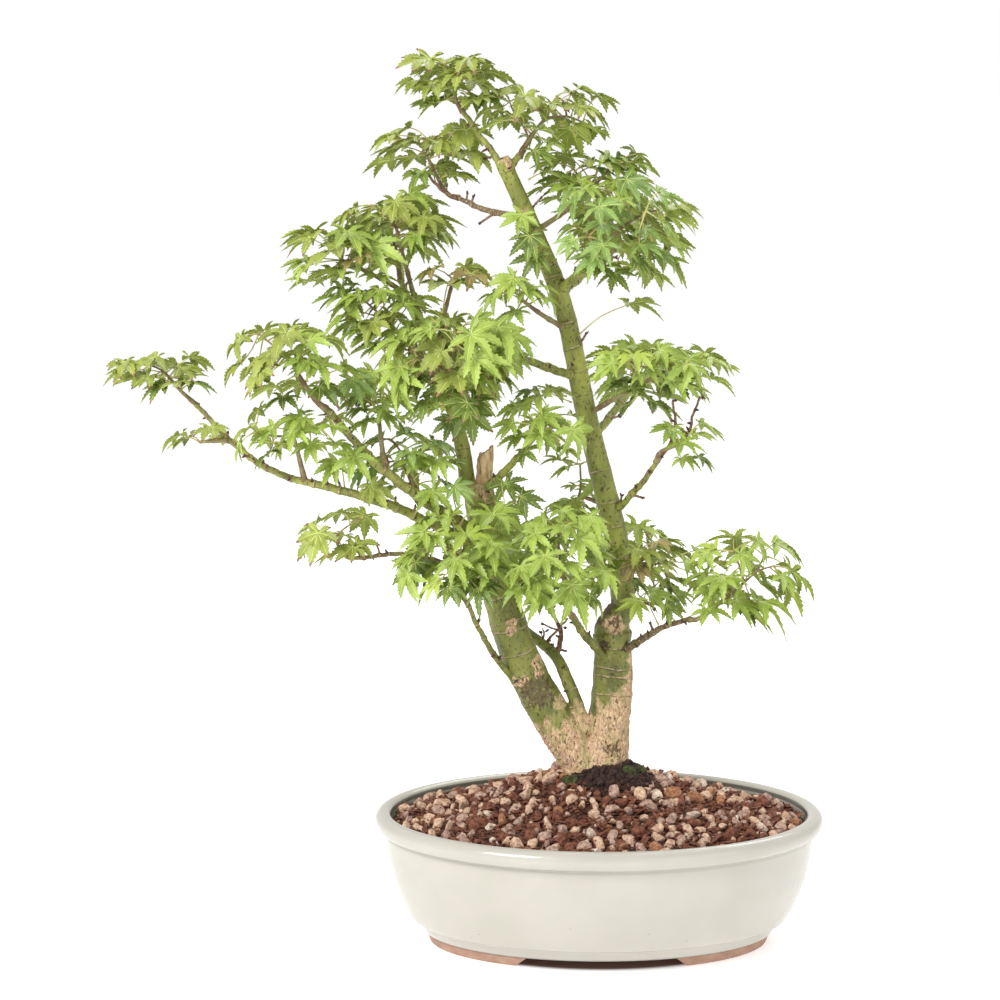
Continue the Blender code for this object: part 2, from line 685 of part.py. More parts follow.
def leaf_solid(frame, root, reach, thickness):
    """Points and faces of one leaf: a star drawn to an edge all round, and a three-sided stalk that
    runs back from its base to the root. The frame's Y is the middle lobe and its Z the upper face."""
    stalk = STALK_HALF_WIDTH
    corners = [(-BASE_ANGLE, BASE_SHARE)]
    for i, (angle, share) in enumerate(zip(LOBE_ANGLES, LOBE_SHARES)):
        if i:
            corners.append(((LOBE_ANGLES[i - 1] + angle) / 2, NOTCH_SHARE))
        corners.append((angle, share))
    corners.append((BASE_ANGLE, BASE_SHARE))
    local = [Vector((0, 0, thickness / 2)), Vector((0, 0, -thickness / 2))]
    for angle, share in corners:
        turn = math.radians(angle)
        drop = -LEAF_DROOP * reach * share ** 2
        out = share * reach
        local.append(Vector((-math.sin(turn) * out, math.cos(turn) * out, drop)))
    local.append(Vector((0, -BASE_SHARE * reach, -2 * stalk)))
    points = [frame @ point for point in local]
    across = frame.to_3x3() @ Vector((stalk, 0, 0))
    under = frame.to_3x3() @ Vector((0, 0, -2 * stalk))
    across *= STALK_FOOT_SHARE
    under *= STALK_FOOT_SHARE
    foot = root - under / 3
    points += [foot - across, foot + across, foot + under]
    top, bottom, first = 0, 1, 2
    last = first + len(corners) - 1
    keel = last + 1
    far_last, far_first, far_keel = keel + 1, keel + 2, keel + 3
    faces = []
    for i in range(first, last):
        faces.append((top, i, i + 1))
        faces.append((bottom, i + 1, i))
    faces.append((top, last, first))
    faces.append((bottom, first, keel))
    faces.append((bottom, keel, last))
    for near, far in (((first, last), (far_last, far_first)), ((keel, first), (far_first, far_keel)),
                      ((last, keel), (far_keel, far_last))):
        faces.append((near[0], near[1], far[0], far[1]))
    faces.append((far_first, far_last, far_keel))
    return points, faces


def leaf_frame(head, pointing, facing):
    """A leaf's place: its head, the way its middle lobe points and the way its upper face looks."""
    along = pointing.normalized()
    up = (facing - along * facing.dot(along)).normalized()
    across = along.cross(up)
    turn = Matrix((across, along, up)).transposed().to_4x4()
    return Matrix.Translation(head) @ turn


class Mass:
    """One mass of leaves: a stem, its twigs and their leaves, in a space of its own."""

    def __init__(self, tree, name, number):
        limb, at, centre, half, leaves, facing, size = MASSES[name]
        self.tree = tree
        self.name = name
        self.limb = limb
        self.at_tip = at == TIP
        self.centre = Vector(centre) * MM
        self.half = Vector(half) * MM
        self.wanted = leaves
        self.facing = facing
        self.reach = LEAF_REACH * size
        self.random = random.Random(SEED * 1000 + number)
        self.pieces = []
        self.own = Soup()
        self.grow_stem(at)

    def grow_stem(self, at):
        """The stem: on from the tip of its limb, or out of the limb's side, to the middle."""
        points, radii = self.tree.routes[self.limb]
        self.stem_radius = min(STEM_RADIUS, radii[-1])
        if self.at_tip:
            heading = (points[-1] - points[-2]).normalized()
            start = points[-1] + heading * GAP
            knee = start + heading * STEM_STRAIGHT
        else:
            spot = at * (len(points) - 1)
            i = min(int(spot), len(points) - 2)
            start = points[i].lerp(points[i + 1], spot - i)
            heading = (self.centre - start).normalized()
            knee = start + heading * (radii[i] + STEM_STRAIGHT + MM)
        self.knee = knee - heading * 1.5 * self.stem_radius
        self.add_twig(start, knee, self.stem_radius, self.stem_radius * 0.95)
        self.add_twig(self.knee, self.centre, self.stem_radius * 0.93, self.stem_radius * 0.75)
        self.twigs = [(self.knee, self.centre, self.stem_radius * 0.75)]

    def add_twig(self, start, stop, start_radius, stop_radius):
        points, faces = twig_piece(start, stop, start_radius, stop_radius)
        self.pieces.append((points, faces))
        self.own.add(points, faces)

    def holds(self, points):
        """Whether all the points are in the space, a box with well rounded corners."""
        for point in points:
            away = point - self.centre
            total = sum(abs(a / h) ** SPACE_POWER for a, h in zip(away, self.half))
            if total > 1:
                return False
        return True

    def free(self, points, faces, others):
        return not self.tree.limb_faces.hits(points, faces) and not any(
            other.own.hits(points, faces) for other in others
        )

    def grow(self, others):
        """Leaf after leaf, each as far as can be from those before it, until there are enough."""
        middles = []
        for _ in range(TRIES * self.wanted):
            spots = [self.random_spot() for _ in range(CHOICES)]
            middle = max(spots, key=lambda spot: min([(spot - other).length for other in middles] + [1]))
            if self.try_leaf(middle, others):
                middles.append(middle)
            if len(middles) == self.wanted:
                break
        return len(middles)

    def random_spot(self):
        """A seeded point in the inner part of the space."""
        room = [max(h - inset * self.reach, 0.1 * h) for h, inset in zip(self.half, SPOT_INSETS)]
        while True:
            share = [self.random.uniform(-1, 1) for _ in range(3)]
            if sum(abs(part) ** SPACE_POWER for part in share) <= 1:
                return self.centre + Vector([part * width for part, width in zip(share, room)])

    def nearest_twig(self, spot):
        """The nearest point on a twig's outer half, a little inside its end, and its thickness."""
        best = None
        for start, stop, radius in self.twigs:
            along = stop - start
            share = (spot - start).dot(along) / along.length_squared
            share = min(max(share, 0.4), 1 - radius / along.length)
            node = start + along * share
            gap = (spot - node).length
            if best is None or gap < best[0]:
                best = (gap, node, radius)
        return best[1], best[2]

    def free_twig(self, start, stop, parent_radius, others):
        """A twig from inside its parent, if it stays in the space and touches nothing."""
        radius = max(CHILD_SHARE * parent_radius, LEAST_TWIG)
        along = (stop - start).normalized()
        if (stop - start).length < 5 * parent_radius or not self.holds([stop]):
            return None
        outside = start + along * 3 * parent_radius
        wide = twig_piece(outside, stop + along * MM, radius * 1.5, radius * 1.5)
        if self.own.hits(*wide) or not self.free(*wide, others):
            return None
        return start, stop, radius, radius * TWIG_TAPER

    def try_leaf(self, middle, others):
        """A leaf round this middle, if it fits: its middle lobe points outwards and droops, its
        upper face looks up and outwards, and a stalk joins it to the nearest twig or to a new one."""
        out = self.random.uniform
        outward = Vector((middle.x - self.centre.x, middle.y - self.centre.y, 0))
        outward = outward.normalized() if outward.length > MM else Vector((0, -1, 0))
        swing = Vector((out(-0.7, 0.7), out(-0.7, 0.7), -0.85 * self.facing - out(0, 0.35)))
        face = Vector((out(-0.35, 0.35), out(-0.35, 0.35), 1 - 0.4 * self.facing))
        frame = leaf_frame(middle, outward + swing, face + outward * self.facing * 1.3)
        along = frame.to_3x3().col[1]
        reach = self.reach * out(*REACH_RANGE)
        head = middle - along * HEAD_BEHIND_MIDDLE * reach
        frame.translation = head
        root, radius = self.nearest_twig(head)
        heading = head - root
        twig = None
        if heading.length > LONGEST_STALK * self.reach:
            back = (heading.normalized() + along).normalized()
            stop = head - back * NEW_STALK * self.reach
            twig = self.free_twig(root, stop, radius, others)
            if twig is None:
                return False
            root = stop - (stop - root).normalized() * twig[3]
            heading = head - root
        if heading.length < SHORTEST_STALK * self.reach:
            return False
        if along.dot(heading.normalized()) < LEAST_STALK_TURN:
            return False
        clear_root = root.lerp(head, CLEAR_OF_PARENT)
        thick = LEAF_THICKNESS * CLEARANCE_THICKNESS
        wide = leaf_solid(frame, clear_root, reach * CLEARANCE_REACH, thick)
        if not self.holds(wide[0][2:]) or self.own.hits(*wide) or not self.free(*wide, others):
            return False
        if twig is not None:
            self.add_twig(*twig)
            self.twigs.append((twig[0], twig[1], twig[3]))
        leaf = leaf_solid(frame, root, reach, LEAF_THICKNESS)
        self.pieces.append(leaf)
        self.own.add(*leaf)
        return True

    def build(self):
        """Joins the pieces into one closed body and cuts it clear of the limb that it meets."""
        objects = []
        for number, (points, faces) in enumerate(self.pieces):
            mesh = bpy.data.meshes.new(f"{self.name}_{number}")
            mesh.from_pydata(points, [], faces)
            objects.append(mesh_object(mesh.name, mesh, self.tree.helpers))
        first, others = objects[0], objects[1:]
        body = mesh_object(self.name, first.data.copy(), self.tree.collection)
        combine(body, "UNION", others, self.tree.helpers)
        for obj in objects:
            bpy.data.objects.remove(obj)
        keep_main_body(body.data)
        if not self.at_tip:
            self.tree.cut_clear(body, [self.limb])
        body.data.materials.clear()
        body.data.materials.append(finish("leaf"))


def make_leaves(tree):
    masses = [Mass(tree, name, number) for number, name in enumerate(MASSES)]
    total = 0
    for mass in masses:
        others = [other for other in masses if other is not mass]
        placed = mass.grow(others)
        total += placed
        mass.build()
        print(f"{mass.name}: {placed} of {mass.wanted} leaves, {len(mass.pieces)} pieces")
    print(total, "leaves")


def centre_on_ground(collection):
    """Parents everything to one empty that brings the middle of the box's underside to the origin."""
    corners = [vertex.co for obj in collection.objects for vertex in obj.data.vertices]
    low = [min(corner[i] for corner in corners) for i in range(3)]
    high = [max(corner[i] for corner in corners) for i in range(3)]
    stand = bpy.data.objects.new("maple_bonsai_stand", None)
    for obj in list(collection.objects):
        obj.parent = stand
    collection.objects.link(stand)
    stand.location = (-(low[0] + high[0]) / 2, -(low[1] + high[1]) / 2, -low[2])
    bpy.context.view_layer.update()
    print("stand", [round(value, 5) for value in stand.location])


def main():
    clear_scene()
    collection = bpy.data.collections.new("maple_bonsai")
    helpers = bpy.data.collections.new("cutters")
    helpers.hide_render = True
    for group in (collection, helpers):
        bpy.context.scene.collection.children.link(group)
    make_pot(collection)
    make_feet(collection, helpers)
    make_soil(collection)
    tree = Tree(collection, helpers)
    make_limbs(tree)
    make_leaves(tree)
    centre_on_ground(collection)


main()
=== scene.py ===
# %% [markdown]
# # A Japanese maple bonsai in an oval pot
# The plain solids of the tree and its pot come in as a fixed frame. This lesson dresses them: a
# glazed pot on clay feet, loose grit, bark with rings and scars, and leaves that grow by a rule.

# %% Load the frame
import math
import random

import bmesh
import bpy
import numpy as np
from mathutils import Matrix, Vector, noise
from mathutils.bvhtree import BVHTree
from mathutils.kdtree import KDTree


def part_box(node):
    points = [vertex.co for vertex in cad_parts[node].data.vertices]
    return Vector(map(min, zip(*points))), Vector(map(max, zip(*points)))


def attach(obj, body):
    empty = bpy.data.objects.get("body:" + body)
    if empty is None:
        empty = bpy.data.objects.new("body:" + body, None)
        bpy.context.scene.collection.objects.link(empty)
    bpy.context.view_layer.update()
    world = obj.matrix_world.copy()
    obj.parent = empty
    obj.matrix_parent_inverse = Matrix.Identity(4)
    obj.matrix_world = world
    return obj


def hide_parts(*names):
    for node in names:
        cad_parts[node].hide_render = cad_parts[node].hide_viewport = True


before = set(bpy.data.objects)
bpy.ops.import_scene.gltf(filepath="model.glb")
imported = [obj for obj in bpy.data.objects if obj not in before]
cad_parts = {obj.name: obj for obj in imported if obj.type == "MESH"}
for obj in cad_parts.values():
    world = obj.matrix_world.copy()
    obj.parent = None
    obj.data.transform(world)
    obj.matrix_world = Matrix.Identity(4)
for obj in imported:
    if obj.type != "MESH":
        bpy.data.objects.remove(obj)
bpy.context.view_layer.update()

MM = 0.001
print("nodes in the frame:", len(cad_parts))

# %% [markdown]
# Every size below is in millimetres, measured from the middle of the pot's underside, as a bonsai
# grower would measure. One function turns such a place into metres in the frame.

# %% Find the pot's middle
pot_low, pot_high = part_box("pot")
home = Vector(((pot_low.x + pot_high.x) / 2, (pot_low.y + pot_high.y) / 2, 0))


def spot(x, y, z):
    return home + Vector((x, y, z)) * MM


print("the pot's middle is at", [round(value, 4) for value in home])

# %% [markdown]
# The camera stands a little above the pot's rim, more than two metres away, as for a catalogue
# picture. A long lens keeps the oval of the pot flat.

# %% Set up the camera
CAMERA_PLACE = (-78, -2325, 701)
LOOKS_DOWN = 8.54
LENS = 108.8
camera_lens = bpy.data.cameras.new("camera")
camera_lens.sensor_width = 36
camera_lens.lens = LENS
camera = bpy.data.objects.new("camera", camera_lens)
camera.location = spot(*CAMERA_PLACE)
camera.rotation_euler = (math.radians(90 - LOOKS_DOWN), 0, 0)
bpy.context.scene.collection.objects.link(camera)
bpy.context.scene.camera = camera
print("camera at", [round(value, 3) for value in camera.location])

# %% [markdown]
# Soft studio light comes from a white dome that is brightest near the horizon, as in a white
# room. The standard view transform keeps white paper white.

# %% Light the room
bpy.context.scene.view_settings.view_transform = "Standard"
world = bpy.data.worlds.new("white_room")
bpy.context.scene.world = world
world.use_nodes = True
room = world.node_tree
direction = room.nodes.new("ShaderNodeTexCoord")
split = room.nodes.new("ShaderNodeSeparateXYZ")
dome = room.nodes.new("ShaderNodeMapRange")
DOME = {"From Min": 0.02, "From Max": 0.5, "To Min": 1.0, "To Max": 0.55}
for socket, value in DOME.items():
    dome.inputs[socket].default_value = value
room.links.new(direction.outputs["Generated"], split.inputs[0])
room.links.new(split.outputs["Z"], dome.inputs["Value"])
room.links.new(dome.outputs[0], room.nodes["Background"].inputs["Strength"])
room.nodes["Background"].inputs["Color"].default_value = (1, 1, 1, 1)
print("the dome shines with", DOME["To Min"], "at the horizon and", DOME["To Max"], "above")

# %% [markdown]
# Three large soft boxes give the shade and the gloss. The key light hangs at the upper left in
# front, a weaker one fills the right side, and one behind draws bright edges.


# %% Hang the soft boxes
def soft_box(name, place, aim, size, watts):
    """A large square lamp at a place, turned towards another."""
    lamp = bpy.data.lights.new(name, "AREA")
    lamp.size = size
    lamp.energy = watts
    obj = bpy.data.objects.new(name, lamp)
    obj.location = place
    obj.rotation_euler = (place - aim).to_track_quat("Z", "Y").to_euler()
    obj.visible_camera = False
    bpy.context.scene.collection.objects.link(obj)


SOFT_BOXES = {
    "key_light": ((-1300, -1500, 1700), 1.0, 42),
    "fill_light": ((1500, -1500, 900), 1.5, 8),
    "back_light": ((500, 1300, 1900), 1.2, 20),
}
tree_middle = spot(-60, 0, 350)
for name, (place, size, watts) in SOFT_BOXES.items():
    soft_box(name, spot(*place), tree_middle, size, watts)
print("soft boxes:", list(SOFT_BOXES))

# %% [markdown]
# A material is a small sum: patches, specks and lines, mixed by masks. Written as nodes such sums
# are long, so a socket is wrapped in a class whose +, -, * and / add the Math nodes. A finish is
# then a few lines of arithmetic that read like the recipe for a glaze.


# %% Arithmetic on sockets
class Wire:
    """An output socket of a finish, which takes part in sums."""

    def __init__(self, finish, socket):
        self.finish = finish
        self.socket = socket

    def __add__(self, other):
        return self.finish.sum("ADD", self, other)

    def __sub__(self, other):
        return self.finish.sum("SUBTRACT", self, other)

    def __rsub__(self, other):
        return self.finish.sum("SUBTRACT", other, self)

    def __mul__(self, other):
        return self.finish.sum("MULTIPLY", self, other)

    __radd__ = __add__
    __rmul__ = __mul__


# %% [markdown]
# A finish owns its material. One method adds any node: its settings first, then its sockets. The
# rest are the patterns that the whole tree is painted with, all measured in millimetres.


# %% A finish and its patterns
class Finish:
    """A material whose Principled shader is fed by patterns."""

    def __init__(self, name, constants=None):
        self.material = bpy.data.materials.new(name)
        self.material.use_nodes = True
        self.tree = self.material.node_tree
        self.shader = self.tree.nodes["Principled BSDF"]
        for socket, value in (constants or {}).items():
            self.join(value, self.shader.inputs[socket])

    def join(self, value, socket):
        if isinstance(value, Wire):
            self.tree.links.new(value.socket, socket)
        elif socket.type == "RGBA":
            socket.default_value = (*value[:3], 1)
        else:
            socket.default_value = value

    def node(self, kind, settings=None, inputs=None, output=0):
        made = self.tree.nodes.new("ShaderNode" + kind)
        for key, value in (settings or {}).items():
            setattr(made, key, value)
        for key, value in (inputs or {}).items():
            self.join(value, made.inputs[key])
        return Wire(self, made.outputs[output])

    def sum(self, operation, first, second):
        return self.node("Math", {"operation": operation}, {0: first, 1: second})

    def feed(self, socket, value):
        self.join(value, self.shader.inputs[socket])

    def place(self, stretch=(1, 1, 1)):
        """Where a point lies, in millimetres, each axis multiplied by its stretch."""
        where = self.node("TexCoord", output="Object")
        scale = [part / MM for part in stretch]
        return self.node("VectorMath", {"operation": "MULTIPLY"}, {0: where, 1: scale})

    def height(self):
        return self.node("SeparateXYZ", None, {0: self.place()}, "Z")

    def cloud(self, size, detail=3, stretch=(1, 1, 1)):
        """Soft patches about that size, mostly between 0.3 and 0.7."""
        inputs = {"Vector": self.place(stretch), "Scale": 1 / size, "Detail": detail}
        return self.node("TexNoise", None, inputs)

    def specks(self, size, radius):
        """Small round dots of a radius, one in each cell of a size."""
        inputs = {"Vector": self.place(), "Scale": 1 / size}
        away = self.node("TexVoronoi", None, inputs, "Distance")
        return 1 - self.step(away, 0.6 * radius / size, 1.4 * radius / size)

    def step(self, value, start, stop):
        """0 below start, 1 above stop, with a soft edge between."""
        inputs = {"Value": value, "From Min": start, "From Max": stop}
        return self.node("MapRange", {"interpolation_type": "SMOOTHSTEP"}, inputs)

    def mark(self, name):
        """A value painted on the mesh's points."""
        return self.node("Attribute", {"attribute_name": name}, None, "Fac")

    def mix(self, mask, first, second):
        """The first colour where the mask is 0 and the second where it is 1."""
        return self.node("Mix", {"data_type": "RGBA"}, {0: mask, 6: first, 7: second}, 2)

    def patches(self, size, first, second, low=0.38, high=0.62, detail=3, stretch=(1, 1, 1)):
        """Two tones in soft patches, the second where the cloud is thick."""
        return self.mix(self.step(self.cloud(size, detail, stretch), low, high), first, second)

    def relief(self, height, depth):
        """A bump of that depth in millimetres, which feeds the normal."""
        self.feed("Normal", self.node("Bump", None, {"Height": height, "Distance": depth * MM}))


print("patterns ready:", [name for name in vars(Finish) if not name.startswith("_")])

# %% [markdown]
# The floor is a wide sheet of white paper. It glows a little, because in a white studio the paper is lit
# until it is as bright as the wall. No such light gets under the pot, so there the paper is painted dark
# brown and glows only a faint brown: a painted shadow, with painted light bounced from the clay, so that a
# dark gap shows between the feet.

# %% Lay the paper floor
UNDER_POT = 52
FLOOR_HALF = 40
FLOOR_LEVEL = -0.0002
paper = Finish("white_paper", {"Roughness": 0.9, "Emission Strength": 0.5})
from_pot = paper.node("VectorMath", {"operation": "SUBTRACT"}, {0: paper.place(), 1: home / MM})
half_oval = (pot_high - pot_low) / 2 / MM
flatten = (1 / (half_oval.x - UNDER_POT), 1 / (half_oval.y - UNDER_POT), 0)
from_pot = paper.node("VectorMath", {"operation": "MULTIPLY"}, {0: from_pot, 1: flatten})
away = paper.node("VectorMath", {"operation": "LENGTH"}, {0: from_pot}, "Value")
# Under the pot the paper carries a painted shadow: dark brown colour, and a faint brown glow as painted
# bounced light from the clay.
outside_painted_shadow = paper.step(away, 0.93, 1.03)
paper.feed("Emission Color", paper.mix(outside_painted_shadow, (0.055, 0.026, 0.019), (1, 1, 1)))
white = paper.mix(paper.cloud(400), (0.88, 0.88, 0.88), (0.9, 0.9, 0.9))
paper.feed("Base Color", paper.mix(outside_painted_shadow, (0.20, 0.12, 0.09), white))
floor_corners = [
    (x * FLOOR_HALF, y * FLOOR_HALF, FLOOR_LEVEL) for x, y in ((-1, -1), (1, -1), (1, 1), (-1, 1))
]
floor_mesh = bpy.data.meshes.new("paper_floor")
floor_mesh.from_pydata(floor_corners, [], [(0, 1, 2, 3)])
floor_mesh.materials.append(paper.material)
floor = bpy.data.objects.new("paper_floor", floor_mesh)
bpy.context.scene.collection.objects.link(floor)
print("the paper is", 2 * FLOOR_HALF, "metres wide")

# %% [markdown]
# Most pieces are made from points worked out here, so one function makes the mesh, hands it its finishes,
# lets it ride on the pot and hides the solids of the frame that it stands for.


# %% Make a piece from points
def make_piece(name, finishes, points, faces, replaced=(), which=None, marks=None, crisp=False):
    """A mesh from points in millimetres. which gives each face's finish, marks the points' values."""
    mesh = bpy.data.meshes.new(name)
    places = np.asarray(points, float) * MM + np.array(home)
    corners = np.asarray(faces).tolist() if which is not None else list(faces)
    mesh.from_pydata(places.tolist(), [], corners)
    for finish in finishes:
        mesh.materials.append(finish.material)
    if which is not None:
        mesh.polygons.foreach_set("material_index", which)
    for mark, values in (marks or {}).items():
        mesh.attributes.new(mark, "FLOAT", "POINT").data.foreach_set("value", values)
    if not crisp:
        mesh.shade_smooth()
    obj = bpy.data.objects.new(name, mesh)
    bpy.context.scene.collection.objects.link(obj)
    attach(obj, "root")
    if replaced:
        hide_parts(*replaced)
    triangles = sum(len(polygon.vertices) - 2 for polygon in mesh.polygons)
    print(f"{name}: {len(mesh.vertices)} points, {triangles} triangles")
    return obj


# %% [markdown]
# Grains, spurs and leaves come in hundreds. A heap gathers their points and faces, and turns them
# into one mesh at the end, because Blender handles one large mesh faster than many small ones.


# %% Gather small shapes
class Heap:
    """Many small shapes gathered into one mesh."""

    def __init__(self):
        self.points = []
        self.faces = []
        self.which = []
        self.count = 0

    def add(self, points, faces, which=0):
        self.points.append(np.asarray(points, float))
        self.faces.append(np.asarray(faces, int) + self.count)
        self.which.extend([which] * len(faces))
        self.count += len(points)

    def piece(self, name, slot, finishes, replaced=(), crisp=False):
        points = np.vstack(self.points)
        faces = np.vstack(self.faces)
        return make_piece(name, finishes, points, faces, replaced, self.which, None, crisp)


# %% [markdown]
# ## The pot
# A real one is pressed in a mould: an oval bowl with a rolled rim, and a bead over its feet. Its
# section is one outline, drawn as insets from the widest oval and heights. A smooth curve through
# those guides, the Catmull-Rom curve, serves the limbs as well.


# %% Smooth a route through its guides
def smooth(guides, step):
    """Points about a step apart on a Catmull-Rom curve through the guides."""
    places = [np.array(guide, float) for guide in guides]
    ends = [2 * places[0] - places[1], *places, 2 * places[-1] - places[-2]]
    route = []
    for before, start, stop, after in zip(ends, ends[1:], ends[2:], ends[3:]):
        count = max(1, round(np.linalg.norm(stop - start) / step))
        for i in range(count):
            t = i / count
            route.append(
                0.5 * (2 * start + (stop - before) * t
                       + (2 * before - 5 * start + 4 * stop - after) * t ** 2
                       + (3 * start - before - 3 * stop + after) * t ** 3)
            )
    route.append(places[-1])
    return np.array(route)


# %% [markdown]
# The outline goes up from the bead past a small shelf, up the wall to the groove under the rim,
# over the rim and down inside. Carried round the oval it makes rings, joined by bands of quads.
# Below the rim the long sides slope in a little more than the ends.

# %% Shape the pot
POT_HALF_LENGTH = (pot_high.x - pot_low.x) / 2 / MM
POT_HALF_DEPTH = (pot_high.y - pot_low.y) / 2 / MM
POT_SIDES = 160
RIM_FOOT = 90
SIDE_SLOPE = 1.18
OUTLINE_STEP = 1.7
bead = [(52, 8.3), (42, 8.0), (39.4, 8.6), (37.6, 10.6), (36.0, 13.4), (34.6, 16.0), (33.4, 17.8)]
shelf = [(31.4, 18.6), (29.0, 19.4), (26.6, 21.6)]
wall = [(24.0, 26), (20.2, 34), (15.8, 45), (12.2, 56), (9.8, 67), (8.2, 77)]
rim_outside = [(7.2, 86.0), (6.9, 89.2), (5.8, 90.6), (3.4, 91.4), (1.3, 93.0), (0.3, 95.6), (0.0, 98.4)]
rim_top = [(0.8, 101.4), (3.2, 104.0), (6.6, 105.2), (9.8, 104.9), (12.0, 103.3), (13.2, 100.4)]
inside = [(14.4, 95), (18.5, 80), (23, 50), (34, 26), (50, 20.5)]
pot_outline = smooth(bead + shelf + wall + rim_outside + rim_top + inside, OUTLINE_STEP)


def band_faces(rings, sides, turned=False):
    """Quads between neighbouring rings of a body, facing the other way if turned."""
    faces = []
    for i in range(rings - 1):
        low, high = i * sides, (i + 1) * sides
        for j in range(sides):
            k = (j + 1) % sides
            straight = (low + j, low + k, high + k, high + j)
            faces.append((low + j, high + j, high + k, low + k) if turned else straight)
    return faces


def closing_faces(rings, sides):
    """One face that closes the first ring and one that closes the last."""
    return [tuple(reversed(range(sides))), tuple(range((rings - 1) * sides, rings * sides))]


turns = np.arange(POT_SIDES) * math.tau / POT_SIDES
pot_rings = []
for inset, height in pot_outline:
    x = (POT_HALF_LENGTH - inset) * np.cos(turns)
    y = (POT_HALF_DEPTH - inset * (SIDE_SLOPE if height < RIM_FOOT else 1)) * np.sin(turns)
    pot_rings.append(np.column_stack((x, y, np.full(POT_SIDES, height))))
pot_faces = band_faces(len(pot_rings), POT_SIDES) + closing_faces(len(pot_rings), POT_SIDES)
print("the pot has", len(pot_rings), "rings of", POT_SIDES, "points")


# %% [markdown]
# The glaze is cream with a breath of green, with a few pinholes. Painted shade darkens it in the groove
# under the rim, over the shelf, above the feet and in a dark line just inside the rim, and a painted
# highlight makes the rim's top paler. Inside, the wall is darkened by painted shade together with grime in
# patches. Masks by height tell these places apart, and one painted value tells inside from outside.

# %% Mix the cream glaze
glaze = Finish("cream_glaze", {"IOR": 1.5})
level = glaze.height()
within = glaze.mark("inside")
# Painted shade: the glaze is darker in the groove under the rim, over the shelf and above the feet.
groove = glaze.step(level, 86.0, 89.0) * (1 - glaze.step(level, 90.0, 91.2))
foot_shade = 1 - glaze.step(level, 8.6, 10.4)
shelf_shade = glaze.step(level, 16.4, 17.8) * (1 - glaze.step(level, 18.8, 20.4))
# A painted highlight: the rim's top is paler.
rim_highlight = glaze.step(level, 102.4, 104.6)
cream = glaze.patches(45, (0.505, 0.482, 0.425), (0.472, 0.452, 0.392), 0.3, 0.7)
cream = glaze.mix(rim_highlight * 0.5, cream, (0.58, 0.555, 0.49))
cream = glaze.mix(groove * 0.5, cream, (0.30, 0.30, 0.24))
cream = glaze.mix(shelf_shade * 0.25, cream, (0.32, 0.32, 0.26))
cream = glaze.mix(foot_shade * 0.8, cream, (0.20, 0.20, 0.17))
# A painted shade line just inside the rim, and on the inner wall painted shade together with grime in
# patches.
lip_shade = glaze.step(level, 98.5, 100.5) * (1 - glaze.step(level, 102.2, 103.2)) * within
cream = glaze.mix(lip_shade * 0.9, cream, (0.07, 0.07, 0.05))
inner_wall = (1 - glaze.step(level, 97, 100)) * within
shade_and_grime = glaze.step(glaze.cloud(2.2, 4), 0.48, 0.6)
cream = glaze.mix(inner_wall * (0.35 + 0.5 * shade_and_grime), cream, (0.16, 0.17, 0.12))
pinholes = glaze.specks(11, 0.42) * glaze.step(glaze.cloud(30), 0.5, 0.56)
glaze.feed("Base Color", glaze.mix(pinholes * 0.8, cream, (0.10, 0.08, 0.05)))
glaze.feed("Roughness", 0.1 + 0.12 * glaze.cloud(14))
glaze.relief(glaze.cloud(24, 2) - pinholes * 0.3, 0.45)

highest = int(pot_outline[:, 1].argmax())
inward = np.repeat((np.arange(len(pot_outline)) > highest) * 1.0, POT_SIDES)
make_piece("glazed_pot", [glaze], np.vstack(pot_rings), pot_faces, ["pot"], None, {"inside": inward})

# %% [markdown]
# The feet are bare clay, two curved bars with slanted ends that leave an air gap at the front and
# the back. Each is a bar bent round the oval, with its edges rounded by a Bevel modifier.

# %% Fire the clay feet
clay = Finish("bare_clay")
clay_tone = clay.patches(9, (0.44, 0.275, 0.20), (0.37, 0.22, 0.155), 0.35, 0.65, 4)
clay_tone = clay.mix(clay.specks(3.5, 0.35) * 0.6, clay_tone, (0.16, 0.09, 0.06))
clay.feed("Base Color", clay.mix(clay.specks(5, 0.4) * 0.5, clay_tone, (0.75, 0.6, 0.5)))
clay.feed("Roughness", 0.78 + 0.15 * clay.cloud(4))
clay.relief(clay.cloud(1.1, 4), 0.35)

FOOT_SECTION = [(58, 8.2), (58, 0), (43.5, 0), (40.8, 8.2)]
FOOT_STEPS = 72
CUT_LOW, CUT_HIGH, CUT_RISE = 66, 55, 10
FOOT_ROUNDING = 1.1


def make_foot(name, node, side):
    """One curved foot, from its front cut round the end of the pot to its back cut."""
    points = []
    for i in range(FOOT_STEPS + 1):
        for inset, height in FOOT_SECTION:
            cut = CUT_LOW + (CUT_HIGH - CUT_LOW) * height / CUT_RISE
            half_turn = math.acos(cut / (POT_HALF_LENGTH - inset))
            turn = (2 * i / FOOT_STEPS - 1) * half_turn
            x = side * (POT_HALF_LENGTH - inset) * math.cos(turn)
            points.append((x, (POT_HALF_DEPTH - SIDE_SLOPE * inset) * math.sin(turn), height))
    corners = len(FOOT_SECTION)
    ends = [tuple(reversed(face)) for face in closing_faces(FOOT_STEPS + 1, corners)]
    faces = ends + band_faces(FOOT_STEPS + 1, corners, turned=True)
    if side < 0:
        faces = [tuple(reversed(face)) for face in faces]
    foot = make_piece(name, [clay], points, faces, [node])
    rounding = foot.modifiers.new("rounding", "BEVEL")
    rounding.width = FOOT_ROUNDING * MM
    rounding.segments = 3
    rounding.limit_method = "ANGLE"
    rounding.angle_limit = math.radians(40)


make_foot("clay_foot_left", "foot_left", -1)
make_foot("clay_foot_right", "foot_right", 1)

# %% [markdown]
# ## The soil
# Bonsai soil is pumice and chopped bark. Under the loose grains lies a dark bed that rises in
# uneven lumps to the trunk, where the old root ball stands a little higher. The frame's soil solid
# already has the lumps, so the height at any place is read from it, with a ray that falls on it.

